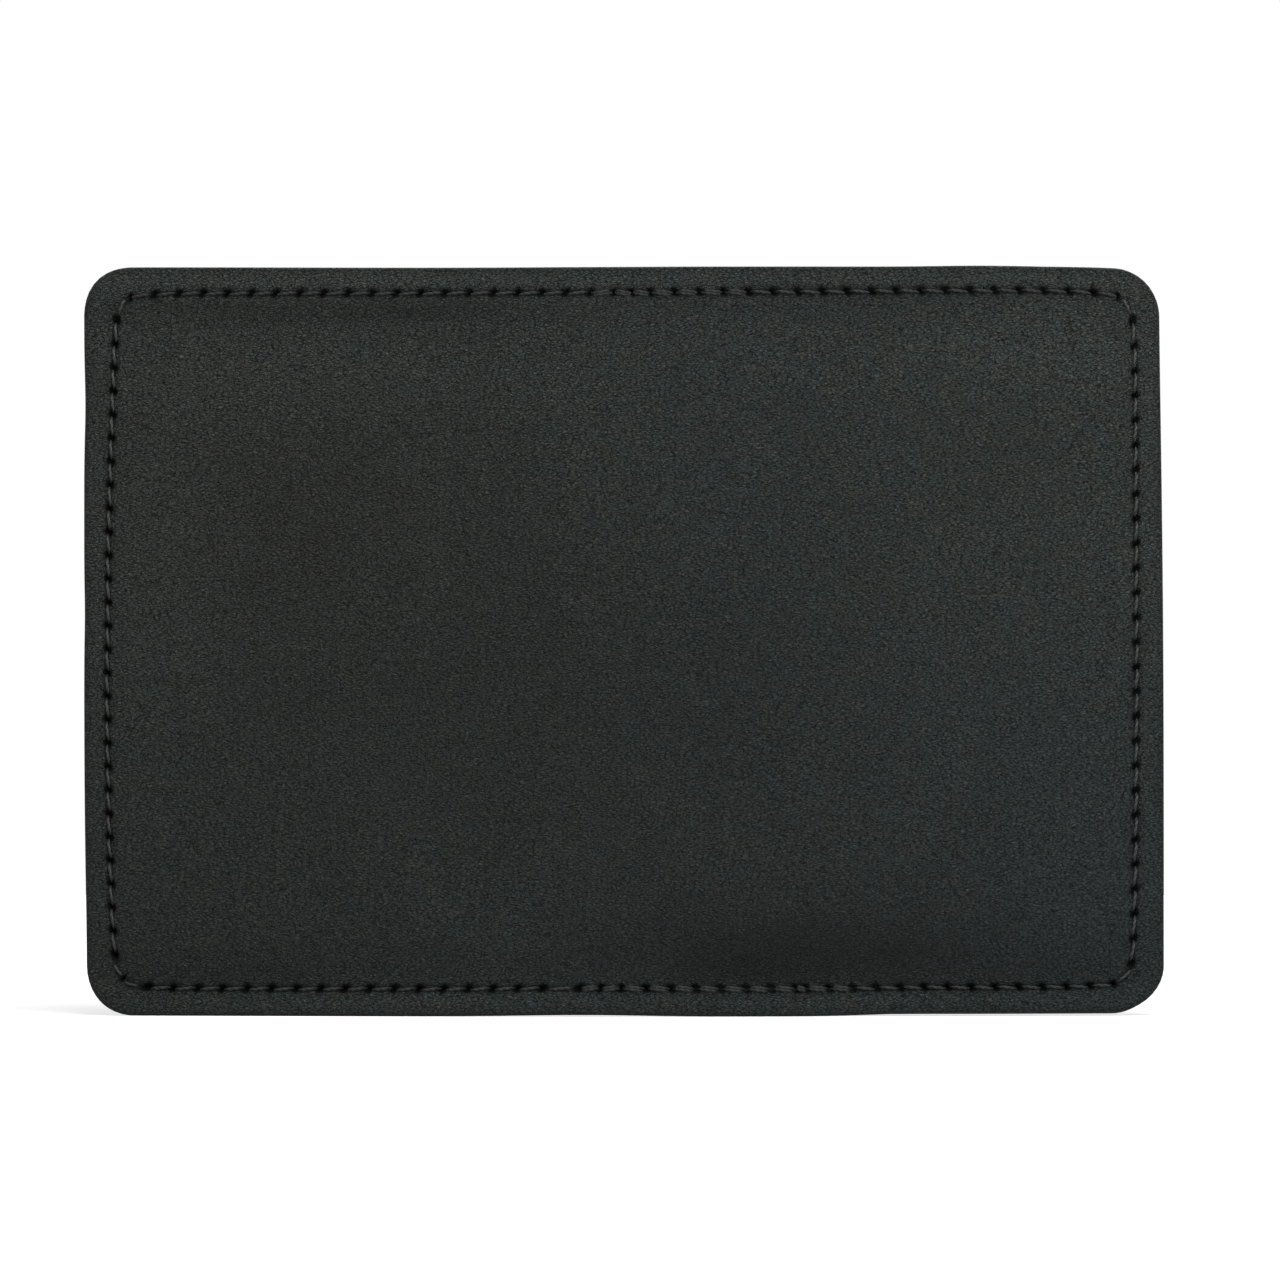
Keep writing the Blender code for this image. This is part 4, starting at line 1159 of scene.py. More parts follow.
def make_stitches(side, name, inside):
    """All the stitches of one half; the right half takes the ones across the middle."""
    at = holes[side]
    start, end = at[:-1], at[1:]
    if side < 0:
        keep = (start >= 0) & (end <= TOTAL)
    else:
        keep = (end > 0) & (start < TOTAL)
    start, end = start[keep], end[keep]
    double = overlapping(start, side) & overlapping(end, side)
    along_ends = edge_frame((start + end) / 2)[3] ** 2
    # The top and bottom runs are rougher and get painted shade.
    dull = along_ends * np.where(start < TOTAL / 2, BOTTOM_DULL_AND_SHADE, TOP_DULL_AND_SHADE)
    paths, outs, lit_shares = [], [], []
    for chosen, shift in ((~double, SINGLE), (double, FIRST_OF_TWO), (double, SECOND_OF_TWO)):
        path, out = stitch_paths(start[chosen], end[chosen], side, shift, inside)
        paths.append(path)
        outs.append(out)
        lit_shares.append(1 - dull[chosen])
    path, out, lit_share = np.concatenate(paths), np.concatenate(outs), np.concatenate(lit_shares)
    size = THREAD_ACROSS * MM, THREAD_HIGH * MM
    rings, faces, wound = tubes(path, unit(out - path), *size, THREAD_SIDES)
    lit = np.repeat(np.outer(lit_share, STITCH_LIT), THREAD_SIDES)[:, None]
    piece = new_piece(name, rings, faces, thread_finish, {"wind": wound, "lit": lit})
    return blend_across_fold(piece, side)


for side, label in ((-1, "left"), (1, "right")):
    for face in ("outer", "inner"):
        row = make_stitches(side, f"{face}_stitches_{label}", face == "inner")
        spine_rows = [f"spine_{face}_thread_{end}" for end in ("top", "bottom")]
        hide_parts(f"{label}_{face}_thread", *spine_rows)
        print(row.name, len(row.data.vertices), "points")

# %% [markdown]
# ## Sheets inside
#
# The lining and the pockets are thin sheets. A plane with a solidify modifier would have the same
# height all over and an upright cut edge. Here a sheet is a grid with its own lower and upper
# limit at every x, so it can follow the round corners or end in a narrow tail.

# %% Limits of a sheet
SHEET_INSET = 0.5
PULL_WIDTH, PULL_REACH = 0.75, 0.8
END_MARGIN, FREE_MARGIN = 0.15, 0.1
FACE_ROWS = np.unique(np.concatenate([
    [0.0, 0.0008, 0.003], np.linspace(0.006, 0.066, 21), np.linspace(0.066, 0.5, 46)]))
ROWS = np.unique(np.concatenate([FACE_ROWS, 1 - FACE_ROWS]).round(6))


def corner_columns(count):
    """The places x of columns in the round corner, closer towards the free edge."""
    turn = np.linspace(0, math.pi / 2, count)
    return SPAN - CORNER + (CORNER - SHEET_INSET) * np.sin(turn)


def round_corner(x, corner_inset):
    """How far the corner cuts into the height at x: radius minus the circle's height there."""
    radius = CORNER - corner_inset
    past = np.clip(x - (SPAN - CORNER), 0, radius)
    return radius - np.sqrt(radius**2 - past**2)


def sheet_limits(x):
    """Lower and upper limit of a sheet that reaches the edge."""
    low = SHEET_INSET + round_corner(x, SHEET_INSET)
    return low, WALLET_HEIGHT - low


def seam_pull(x, z, side, width=PULL_WIDTH):
    """1 on the seam line and 0 away from it, along the ends and the free side."""
    ends = [z - swells(side * x, *SEAM_INSET["bottom"]) - END_MARGIN,
            WALLET_HEIGHT - z - swells(side * x, *SEAM_INSET["top"]) - END_MARGIN]
    free = SPAN - x - swells(z, *SEAM_INSET["left" if side < 0 else "right"]) - FREE_MARGIN
    end_pull = sum(bell(v / width) * ease(free + PULL_REACH) for v in ends)
    free_pull = bell(free / width) * ease(ends[0] + PULL_REACH) * ease(ends[1] + PULL_REACH)
    return np.clip(end_pull + free_pull, 0, 1)


print(len(ROWS), "rows from a sheet's lower limit to its upper one")

# %% [markdown]
# A sheet has a front and a back face, and between them one more loop of points, pushed out to
# round the rim. The way out lies square to the loop, and a trace of the loop's own bend keeps it
# defined everywhere.

# %% Closed sheets
RIM_PUSH, BEND_SHARE, AT_MIDDLE = 0.4, 1e-3, 1e-6


def make_sheet(name, x, low, high, back, front, side, material, stiff, shade=None):
    """A closed sheet over x and the shares ROWS between low and high.

    back and front give the depths, and shade the tone with its painted light and shade. A sheet
    that starts at the wallet's middle has a flat end there, because the other half's sheet goes on
    from it.
    """
    gx = np.repeat(x[:, None], len(ROWS), 1)
    gz = low[:, None] + (high - low)[:, None] * ROWS
    layers = [np.stack([gx, depth(gx, gz), gz], -1).reshape(-1, 3) for depth in (back, front)]
    columns, rows = gx.shape
    numbers = np.arange(gx.size).reshape(columns, rows)
    rim = np.concatenate([numbers[:-1, 0], numbers[-1, :-1], numbers[:0:-1, -1], numbers[0, :0:-1]])
    flat = np.concatenate([*layers, rounded_rim(layers[0][rim], layers[1][rim])])
    loop = 2 * gx.size + np.arange(len(rim))
    rims = [np.stack([a, np.roll(a, -1), np.roll(b, -1), b], -1)
            for a, b in ((loop, rim), (rim + gx.size, loop))]
    end = len(rim) - rows + 1 if x[0] == 0 else len(rim)
    faces = [grid_quads(numbers), grid_quads(numbers + gx.size)[:, ::-1]]
    faces += [rims[0][:end], rims[1][:end], rims[0][end:], rims[1][end:]]
    painted_light_and_tone = np.ones(len(flat)) if shade is None else shade(flat[:, 0], flat[:, 2])
    attributes = {"place": flat * (side, 1, 1), "painted_light_and_tone": painted_light_and_tone[:, None]}
    points = fold(flat, side, stiff)
    return new_piece(name, points, faces, material, attributes, 2 * (len(rim) - end))


def rounded_rim(back, front):
    """The loop midway between both faces, pushed out by a share of the thickness there."""
    middle = (back + front) / 2
    out = middle - (np.roll(middle, 1, 0) + np.roll(middle, -1, 0)) / 2
    along = np.roll(middle, -1, 0) - np.roll(middle, 1, 0)
    across = np.stack([along[:, 2], np.zeros(len(middle)), -along[:, 0]], -1)
    push = unit(across + out * BEND_SHARE) * (front - back)[:, 1:2] * RIM_PUSH
    push[middle[:, 0] < AT_MIDDLE, 0] = 0.0
    return middle + push


print("a rim stands out by", RIM_PUSH, "of its sheet's thickness")

# %% [markdown]
# ## Lining
#
# The lining is a thin black twill. A picture of cloth would repeat, so its weave is drawn by sine
# waves over the flat place: one runs askew for the ribs, one crosses it for the yarns, and noise
# shifts the ribs a little, as uneven yarn does.

# %% Lining finish
TWILL_PITCH, RIB_SLOPE, YARN_RATES, YARN_SHARE = 0.42, 0.8, (1.2, -1.3), 0.35
SLUB_SCALE, SLUB_SHIFT = 1.4, 1.2
LINING_WEAVE_SHADE, LINING_WEAVE_HIGHLIGHT = (0.014, 0.014, 0.016), (0.042, 0.043, 0.046)
WEAVE_HEIGHT = 0.00004
lining_finish, lining_tree, lining_shader = new_material("lining_twill", 0.82, 0.3)
lining_shader.inputs["Sheen Weight"].default_value = 0.35
lining_shader.inputs["Sheen Roughness"].default_value = 0.5
cloth = add_node(lining_tree, "ShaderNodeSeparateXYZ", {0: pattern_place(lining_tree)})
slub = noise(lining_tree, pattern_place(lining_tree), SLUB_SCALE, 3.0)
slub = calc(lining_tree, "MULTIPLY", slub, SLUB_SHIFT)


def wave(tree, first, first_rate, second, second_rate, shift=None):
    """sin(first * rate + second * rate + shift), from -1 to 1."""
    phase = calc(tree, "MULTIPLY", second, second_rate)
    phase = calc(tree, "MULTIPLY_ADD", first, first_rate, phase)
    if shift is not None:
        phase = calc(tree, "ADD", phase, shift)
    return calc(tree, "SINE", phase)


rate = 2 * math.pi / TWILL_PITCH
across, up = cloth.outputs[0], cloth.outputs[2]
ribs = wave(lining_tree, across, rate, up, rate * RIB_SLOPE, slub)
yarns = wave(lining_tree, across, rate * YARN_RATES[0], up, rate * YARN_RATES[1])
weave = calc(lining_tree, "MULTIPLY_ADD", yarns, YARN_SHARE, ribs)
feed(lining_shader, "Normal", bump(lining_tree, weave, WEAVE_HEIGHT))
# Painted highlight on the raised yarns and painted shade between them.
raised = ranged(lining_tree, weave, -1.2, 1.2)
feed(lining_shader, "Base Color", mixed(lining_tree, raised, LINING_WEAVE_SHADE, LINING_WEAVE_HIGHLIGHT))
print("lining:", len(lining_tree.nodes), "nodes")

# %% [markdown]
# The lining lies level over the boards and rises a little at the spine. It is drawn in at the
# seam, and the clip's anchor plate behind it shows through as a faint raised strip.

# %% Lining
PLATE_HALF_WIDTH, PLATE_LOW, PLATE_HIGH = 3.7, 29.3, 89.7
PLATE_RISE, PLATE_RAMP_X, PLATE_RAMP_Z = 0.07, 0.5, 0.6
LINING_THICKNESS, LINING_DRAW = 0.4, 0.1
SLACK, SLACK_CELL, SLACK_STRETCH = 0.05, 3.1, 0.6


def lining_back(x, z):
    """The face that lies on the boards, the same at every z."""
    return lining_level(x, SPINE_LINING_TOP - LINING_THICKNESS)


def lining_front(side):
    """The shown face: level, drawn in at the seam, raised over the plate, a little slack."""
    def depth(x, z):
        """back + thickness - pull + plate + slack, in mm."""
        level = lining_back(x, z) + LINING_THICKNESS
        plate = ease((PLATE_HALF_WIDTH - x) / PLATE_RAMP_X)
        plate = plate * ease((z - PLATE_LOW) / PLATE_RAMP_Z) * ease((PLATE_HIGH - z) / PLATE_RAMP_Z)
        slack = SLACK * uneven(x, z * SLACK_STRETCH, side, SLACK_CELL, 31) * ease(x / 2.0)
        return level - LINING_DRAW * seam_pull(x, z, side) + PLATE_RISE * plate + slack
    return depth


lining_x = np.unique(np.concatenate([
    np.linspace(0, 14, 57), np.linspace(14, END_RUN, 50), corner_columns(12)]))
for side, label in ((-1, "left"), (1, "right")):
    sheet = make_sheet(f"lining_{label}", lining_x, *sheet_limits(lining_x), lining_back,
                       lining_front(side), side, lining_finish, False)
    blend_across_fold(sheet, side)
    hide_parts(f"{label}_lining", "spine_lining")

# %% [markdown]
# ## Card pockets
#
# The pockets are a softer, plainer leather than the cover, so they get the same recipe with
# calmer numbers. Their tone is worked out at the points: paler at the mouth, partly wear and partly
# a painted highlight on its edge, and darker in the line that is ironed beside it, a painted shade.

# %% Pocket finish
MOUTH_RUB_AND_HIGHLIGHT, RUB_AND_HIGHLIGHT_WIDTH = 0.35, 0.45
IRON_LINE, IRON_WIDTH, IRON_DEPTH, IRON_SHADE = 1.9, 0.17, 0.09, 0.4
PATCH_CELLS, PATCH_STRENGTH = ((12.0, 2), (4.5, 5)), 0.07
POCKET_GREEN, POCKET_BROWN = (0.0222, 0.0256, 0.0246), (0.0268, 0.0262, 0.0244)
pocket_finish, pocket_tree, pocket_shader, pocket_colour = leather_finish(
    "pocket_leather", POCKET_GREEN, POCKET_BROWN, 0.5, 0.2, 1.9, 0.0002)
feed(pocket_shader, "Base Color", pocket_colour)


def pocket_painted_light_and_tone(mouth, side, seed):
    """Paler mouth (wear, painted highlight), ironed line in painted shade, uneven patches
    elsewhere.
    """
    def shade(x, z):
        """1 + rub and painted highlight * bell - painted shade of the ironed line * bell + patches.
        """
        from_mouth = x - FOLD - mouth
        # Painted highlight with wear at the mouth, painted shade in the ironed line.
        painted_light_and_tone = 1 + MOUTH_RUB_AND_HIGHLIGHT * bell(from_mouth / RUB_AND_HIGHLIGHT_WIDTH)
        painted_light_and_tone = painted_light_and_tone - IRON_SHADE * bell((from_mouth - IRON_LINE) / IRON_WIDTH)
        patches = sum(uneven(x, z, side, cell, seed + extra) for cell, extra in PATCH_CELLS)
        return painted_light_and_tone + PATCH_STRENGTH * patches
    return shade


print("pocket leather:", len(pocket_tree.nodes), "nodes")

# %% [markdown]
# Each pocket is thin leather whose mouth is turned over, so it is thicker for some 6 mm, and then
# ironed with a fine line. The mouth lifts a little where fingers and cards have worked it, and
# its ends are held down by the seam.

# %% Faces of a pocket
MOUTH_HEM, HEM_EXTRA = 6.5, 0.12
MOUTH_LIFT, LIFT_WIDTH, BACK_LIFT = 0.16, 3.5, 0.5
POCKET_SWELL, WIDE_PULL, POCKET_DRAW = 0.12, 3.2, 0.2
WAVES, WRINKLES = 0.035, 0.01


def mouth_lift(x, z, mouth, height):
    """height * half a sine wave over z * a bell about the mouth, in mm."""
    middle = np.sin(math.pi * np.clip(z / WALLET_HEIGHT, 0, 1))
    return height * middle * bell((x - FOLD - mouth) / LIFT_WIDTH)


def pocket_face(base, mouth, side, seed):
    """The shown face: hem, ironed line, lift at the mouth, swell between the seams."""
    def depth(x, z):
        """base + hem - ironed line + lift + swell - pull + waves and wrinkles, in mm."""
        from_mouth = x - FOLD - mouth
        face = base + HEM_EXTRA * ease((MOUTH_HEM + 0.5 - from_mouth) / 1.0)
        face = face - IRON_DEPTH * bell((from_mouth - IRON_LINE) / IRON_WIDTH)
        face = face + mouth_lift(x, z, mouth, MOUTH_LIFT)
        swell = (1 - seam_pull(x, z, side, WIDE_PULL)) * ease((SPAN - x - 3) / 5)
        swell = swell * ease(from_mouth / 9)
        face = face + POCKET_SWELL * swell - POCKET_DRAW * seam_pull(x, z, side)
        wrinkle = 1 - np.abs(uneven(x, z * 1.4, side, 2.4, seed))
        return face + WAVES * uneven(x, z, side, 11.0, seed + 1) + WRINKLES * wrinkle**3
    return depth


def pocket_back(base, mouth):
    """The hidden face: level, with half of the lift at the mouth."""
    def depth(x, z):
        """base + half the lift, in mm."""
        return base + mouth_lift(x, z, mouth, BACK_LIFT * MOUTH_LIFT)
    return depth


print("a mouth lifts by", MOUTH_LIFT, "mm and its hem adds", HEM_EXTRA, "mm")

# %% [markdown]
# A pocket that another one covers ends in a narrow tail behind it, so that its ply doesn't
# thicken the seam there. The front ones reach the free edge and follow its corners. Both kinds
# come from the same sheet, with other limits. They are stiff and turn with their half.

# %% Pockets
PLY_THICKNESS, FIRST_PLY = 0.5, 2.2
TAIL_LOW, STRIP_OVERLAP, CARD_DEPTH = 9.5, 4.0, 48.0
AFTER_SHOULDER, PLAIN_FROM = 0.12, 8.8
MOUTH_COLUMNS = np.concatenate([
    [0.0, 0.06, 0.15], np.linspace(0.3, 3.0, 19), np.linspace(3.4, 8.2, 13)])


def make_pocket(side, node, layer, mouth, next_mouth, seed):
    """One pocket: its columns, its limits, then the sheet with its faces and tone."""
    base = FIRST_PLY + PLY_STEP * layer
    start = FOLD + mouth
    if next_mouth is None:
        far = [np.linspace(start + PLAIN_FROM, END_RUN, 46), corner_columns(22)]
        x = np.unique(np.concatenate([start + MOUTH_COLUMNS, *far]).round(5))
        low, high = sheet_limits(x)
    else:
        shoulder = FOLD + next_mouth + STRIP_OVERLAP
        far = [np.linspace(start + PLAIN_FROM, shoulder, 7),
               np.linspace(shoulder + AFTER_SHOULDER, start + CARD_DEPTH, 30)]
        x = np.unique(np.concatenate([start + MOUTH_COLUMNS, *far]).round(5))
        low = np.where(x > shoulder + AFTER_SHOULDER / 2, TAIL_LOW, SHEET_INSET)
        high = WALLET_HEIGHT - low
    face = pocket_face(base + PLY_THICKNESS, mouth, side, seed)
    piece = make_sheet(f"{node}_leather", x, low, high, pocket_back(base, mouth), face, side,
                       pocket_finish, True, pocket_painted_light_and_tone(mouth, side, seed))
    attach(piece, "left_half" if side < 0 else "right_half")
    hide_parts(node)


for number, pocket in enumerate(POCKETS):
    make_pocket(*pocket, 41 + 3 * number)
print(len(POCKETS), "pockets, each", PLY_THICKNESS, "mm thick")

# %% [markdown]
# ## Nickel
#
# The clip is stamped steel with bright nickel plate. A perfect mirror would look like a drawing:
# real plate has fine rubbing marks along the bar and faint cloudy patches. Noise that is
# stretched along the bar gives the marks, and plain noise the clouds.

# %% Metal finishes
CLOUD_SCALE, CLOUD_DIM = 160.0, 0.92
SMOOTHER, ROUGHER = 0.85, 1.25


def metal_finish(name, colour, roughness, stretch, depth):
    """Plated metal: stretched noise for rubbing marks, soft noise for cloudy patches."""
    made, tree, shader = new_material(name, roughness, 0.5, 1.0)
    place = add_node(tree, "ShaderNodeTexCoord").outputs["Object"]
    drawn = add_node(tree, "ShaderNodeMapping", {"Vector": place, "Scale": stretch}).outputs[0]
    marks = noise(tree, drawn, 1.0, 6.0, 0.7)
    clouds = noise(tree, place, CLOUD_SCALE, 4.0, 0.6)
    feed(shader, "Normal", bump(tree, marks, depth))
    level = calc(tree, "MULTIPLY_ADD", marks, 0.5, calc(tree, "MULTIPLY", clouds, 0.5))
    rough = ranged(tree, level, 0.3, 0.7, roughness * SMOOTHER, roughness * ROUGHER)
    feed(shader, "Roughness", rough)
    dim = tuple(CLOUD_DIM * value for value in colour)
    feed(shader, "Base Color", mixed(tree, ranged(tree, clouds, 0.35, 0.65), dim, colour))
    return made


nickel = metal_finish("nickel_plate", (0.54, 0.53, 0.51), 0.22, (9000.0, 9000.0, 300.0), 0.000002)
steel = metal_finish("spring_steel", (0.5, 0.5, 0.5), 0.32, (2500.0, 2500.0, 2500.0), 0.000003)
print("metals:", nickel.name, "and", steel.name)

# %% [markdown]
# ## Stamped and turned parts
#
# Metal shows its rounded edges by their gleam, so each part is built from rings that follow the
# rounding. A stamped plate is its outline carried over a profile of insets and depths, and a
# turned part is a profile carried round its axis. A bevel modifier would round both sides alike,
# but a stamp rounds one side of the plate more.

# %% Stamped plate
PIN_DEPTH, PIN_HEIGHT = 4.95, 88.0


def on_spine(x, w, z):
    """Spine coordinates in mm, w from the outer face inwards, to metres."""
    return np.stack([x, FACE_Y + w, z], -1) * MM


def capped(rings):
    """Points and faces of a row of closed rings, with a flat lid at both ends."""
    numbers = np.arange(rings.size // 3).reshape(rings.shape[:2])
    wrapped = np.concatenate([numbers, numbers[:, :1]], 1)
    return rings.reshape(-1, 3), [grid_quads(wrapped), numbers[:1], numbers[-1:, ::-1]]


def rounded_box(half_width, low, high, radius, steps=7):
    """Points and outward directions round an upright rectangle with round corners."""
    turn = np.linspace(0, math.pi / 2, steps)
    angle = np.concatenate([turn - math.pi / 2, turn, turn + math.pi / 2, turn + math.pi])
    cx = np.repeat([1, 1, -1, -1], steps) * (half_width - radius)
    cz = np.repeat([low + radius, high - radius, high - radius, low + radius], steps)
    return cx, cz, np.cos(angle), np.sin(angle)


def plate_arrays(half_width, low, high, radius, profile):
    """The outline shrunk by each inset of the profile, at each depth; flat lids close it."""
    cx, cz, ox, oz = rounded_box(half_width, low, high, radius)
    return capped(np.stack([
        on_spine(cx + ox * (radius - inward), np.full(len(cx), deep), cz + oz * (radius - inward))
        for inward, deep in profile]))


print("the pin lies", PIN_DEPTH, "mm in and", PIN_HEIGHT, "mm up")

# %% [markdown]
# A lug with a hole is a ring: its profile goes round between the hole and an outer curve that
# changes with the angle, so no boolean cut is needed and the mesh stays closed.

# %% Turned part and lug
HOLE_EDGE, EDGE_SHARE = 0.06, 0.3


def lathe_arrays(profile, steps, place):
    """A profile of (radius, way) turned about its axis.

    place puts (radius cos(a), radius sin(a), way) in the scene.
    """
    angle = np.arange(steps) * 2 * math.pi / steps
    radius, way = np.array(profile).T
    across, up = radius[:, None] * np.cos(angle), radius[:, None] * np.sin(angle)
    return capped(place(across, up, np.repeat(way[:, None], steps, 1)))


def lug_arrays(reach, hole, x_near, x_far, edge, steps=48):
    """A ring about the pin: from the hole to reach(angle), with edges rounded by edge."""
    angle = np.arange(steps) * 2 * math.pi / steps
    outer, inner = reach(angle), np.full(steps, hole)
    span, part = x_far - x_near, EDGE_SHARE * edge
    rows = [(inner + HOLE_EDGE, 0.0), (outer - edge, 0.0), (outer - part, part), (outer, edge),
            (outer, span - edge), (outer - part, span - part), (outer - edge, span),
            (inner + HOLE_EDGE, span), (inner, span - HOLE_EDGE), (inner, HOLE_EDGE)]
    sine, cosine = np.sin(angle), np.cos(angle)
    points = np.stack([
        on_spine(np.full(steps, x_near + x), PIN_DEPTH + r * sine, PIN_HEIGHT + r * cosine)
        for r, x in rows])
    numbers = np.arange(points.size // 3).reshape(points.shape[:2])
    closed = np.concatenate([numbers, numbers[:1]])
    return points.reshape(-1, 3), [grid_quads(np.concatenate([closed, closed[:, :1]], 1))]


print("a lug's hole has an edge of", HOLE_EDGE, "mm")

# %% [markdown]
# The base and the arm are several closed shells in one piece. Each shell's own volume tells
# whether it is inside out, so each is turned outwards before they are joined.

# %% Joining shells
def shell_volume(points, groups):
    """The volume inside a shell, by fans of triangles from each face's first corner."""
    total = 0.0
    for group in groups:
        corner = points[np.asarray(group)]
        total += float((corner[:, :1] * np.cross(corner[:, 1:-1], corner[:, 2:])).sum())
    return total


def joined(parts):
    """Several closed shells as one set of points and faces, each turned outwards first."""
    points, faces, count = [], [], 0
    for shell, groups in parts:
        way = -1 if shell_volume(shell, groups) < 0 else 1
        points.append(shell)
        faces += [np.asarray(group)[:, ::way] + count for group in groups]
        count += len(shell)
    return np.concatenate(points), faces


def nickel_part(name, parts, body, node):
    """A plated part that rides on one body and takes the place of one CAD node."""
    piece = new_piece(name, *joined(parts), nickel)
    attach(piece, body)
    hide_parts(node)


print("part helpers: capped, plate_arrays, lathe_arrays, lug_arrays, joined, nickel_part")

# %% [markdown]
# ## The clip's base
#
# The base is a long stamped plate with two ears bent up for the pin. It lies on the lining, held
# by two rivets. The ears are lugs whose outer curve is a superellipse, which is a rectangle with
# well rounded corners: blunter below the pin, where the ear runs into the plate.

# %% Clip base
CLIP_HALF_WIDTH, CLIP_LOW, CLIP_HIGH, CLIP_CORNER = 3.2, 17.0, 91.0, 1.2
BASE_OUTER, BASE_INNER = 2.5, 3.1
PLATE_PROFILE = (
    (0.6, BASE_OUTER), (0.12, BASE_OUTER), (0.0, BASE_OUTER + 0.1), (0.0, BASE_INNER - 0.2),
    (0.05, BASE_INNER - 0.07), (0.18, BASE_INNER), (0.6, BASE_INNER))
EAR_THICKNESS, EAR_HALF_LENGTH, EAR_ABOVE, EAR_BELOW = 0.6, 2.95, 1.5, 2.3
EAR_SETBACK, EAR_EDGE, BLUNT_ABOVE, BLUNT_BELOW = 0.1, 0.12, 3.0, 12.0
PIN_HOLE = 0.81


def ear_reach(angle):
    """A superellipse: (|cos / length|^power + |sin / height|^power)^(-1 / power)."""
    tall = np.where(np.sin(angle) > 0, EAR_ABOVE, EAR_BELOW)
    power = np.where(np.sin(angle) > 0, BLUNT_ABOVE, BLUNT_BELOW)
    flat = np.abs(np.cos(angle) / EAR_HALF_LENGTH) ** power + np.abs(np.sin(angle) / tall) ** power
    return flat ** (-1 / power)


base_parts = [plate_arrays(CLIP_HALF_WIDTH, CLIP_LOW, CLIP_HIGH, CLIP_CORNER, PLATE_PROFILE)]
for near in (-CLIP_HALF_WIDTH + EAR_SETBACK, CLIP_HALF_WIDTH - EAR_SETBACK - EAR_THICKNESS):
    base_parts.append(lug_arrays(ear_reach, PIN_HOLE, near, near + EAR_THICKNESS, EAR_EDGE))
nickel_part("clip_base_plate", base_parts, "spine", "clip_base")
print("clip base:", len(base_parts), "shells,", CLIP_HIGH - CLIP_LOW, "mm long")

# %% [markdown]
# ## The clip's arm
#
# The arm is a crowned bar. It runs level over the rivets, dips to its grip and curls up into a
# thumb lip. Two formulas say how deep its middle line lies and how wide it is at each point of
# its way. A bent curve object would do too, but its width could not change so freely.

# %% Line of the arm
ARM_LENGTH, ARM_HALF_WIDTH, ARM_THICKNESS = 69.0, 3.0, 0.8
ARM_LEVEL, GRIP_DROP, GRIP_AT, DIP_AT, LIP_RISE = -0.6, 0.5, 58.0, 46.7, 2.2
NECK_END, NECK_HALF_WIDTH, NECK_RAMP, ARM_START = 4.4, 2.0, 0.9, 3.2
TIP_SHARE, TIP_POWER = 0.93, 2.4


def arm_middle(way):
    """Depth from the pin: level, a cosine dip to the grip, then a parabola up to the lip."""
    dip = (1 - np.cos(math.pi * np.clip((way - DIP_AT) / (GRIP_AT - DIP_AT), 0, 1))) / 2
    lip = np.clip((way - GRIP_AT) / (ARM_LENGTH - GRIP_AT), 0, 1) ** 2
    return ARM_LEVEL - GRIP_DROP * dip + (GRIP_DROP + LIP_RISE) * lip


def arm_half_width(way):
    """Narrow between the ears, then full width, with an elliptic tip."""
    wider = ease((way - NECK_END + 0.1) / NECK_RAMP)
    neck = NECK_HALF_WIDTH + (ARM_HALF_WIDTH - NECK_HALF_WIDTH) * wider
    tip = np.clip((way - ARM_LENGTH + ARM_HALF_WIDTH) / ARM_HALF_WIDTH, 0, 1)
    return neck * np.sqrt(1 - TIP_SHARE * tip**TIP_POWER)


print("the lip rises to", round(float(arm_middle(ARM_LENGTH)), 2), "mm from the pin's depth")

# %% [markdown]
# The arm's cross-section is a superellipse, kept square to the middle line and thinned at the
# lip. Two cheeks carry the pin. They are lugs like the base's ears, with a tongue that reaches
# the bar.

# %% Clip arm
SECTION_STEPS, SIDE_POWER, FACE_POWER = 28, 0.3, 0.55
LIP_FROM, LIP_LENGTH, LIP_THINNING = 65.5, 3.5, 0.35
CHEEK_RADIUS, CHEEK_OUTER, CHEEK_THICKNESS, CHEEK_EDGE = 1.45, 2.1, 0.7, 0.1
TONGUE_REACH, TONGUE_WIDTH = 2.9, 0.2


def rounded_sign(values, power):
    """sign(v) |v|^power, which makes a superellipse of a cosine and a sine."""
    return np.sign(values) * np.abs(values) ** power


def cheek_reach(angle):
    """A round cheek with a tongue towards the bar: radius plus a bell about the bar's direction."""
    to_bar = math.pi + math.atan2(-ARM_LEVEL, NECK_END)
    return CHEEK_RADIUS + TONGUE_REACH * bell((angle - to_bar) / TONGUE_WIDTH)


tip_way = ARM_LENGTH - ARM_HALF_WIDTH * np.cos(np.linspace(0.3, math.pi / 2, 14))
way = np.concatenate([np.linspace(ARM_START, 6.5, 14), np.linspace(7.5, 44, 28),
                      np.linspace(45, LIP_FROM, 38), tip_way])
slope = np.gradient(arm_middle(way), way)[:, None]
angle = (np.arange(SECTION_STEPS) + 0.5) * 2 * math.pi / SECTION_STEPS
flat_x, flat_w = rounded_sign(np.cos(angle), SIDE_POWER), rounded_sign(np.sin(angle), FACE_POWER)
thinned = np.where(way > LIP_FROM, 1 - LIP_THINNING * ease((way - LIP_FROM) / LIP_LENGTH), 1)
thin = (ARM_THICKNESS / 2 * thinned)[:, None] * flat_w
lean = 1 / np.sqrt(1 + slope**2)
rings = on_spine(arm_half_width(way)[:, None] * flat_x,
                 PIN_DEPTH + arm_middle(way)[:, None] + thin * lean,
                 PIN_HEIGHT - way[:, None] + thin * lean * slope)
arm_parts = [capped(rings)]
for near in (-CHEEK_OUTER, CHEEK_OUTER - CHEEK_THICKNESS):
    far = near + CHEEK_THICKNESS
    arm_parts.append(lug_arrays(cheek_reach, PIN_HOLE, near, far, CHEEK_EDGE, 72))
nickel_part("clip_spring_arm", arm_parts, "clip_arm", "clip_arm")
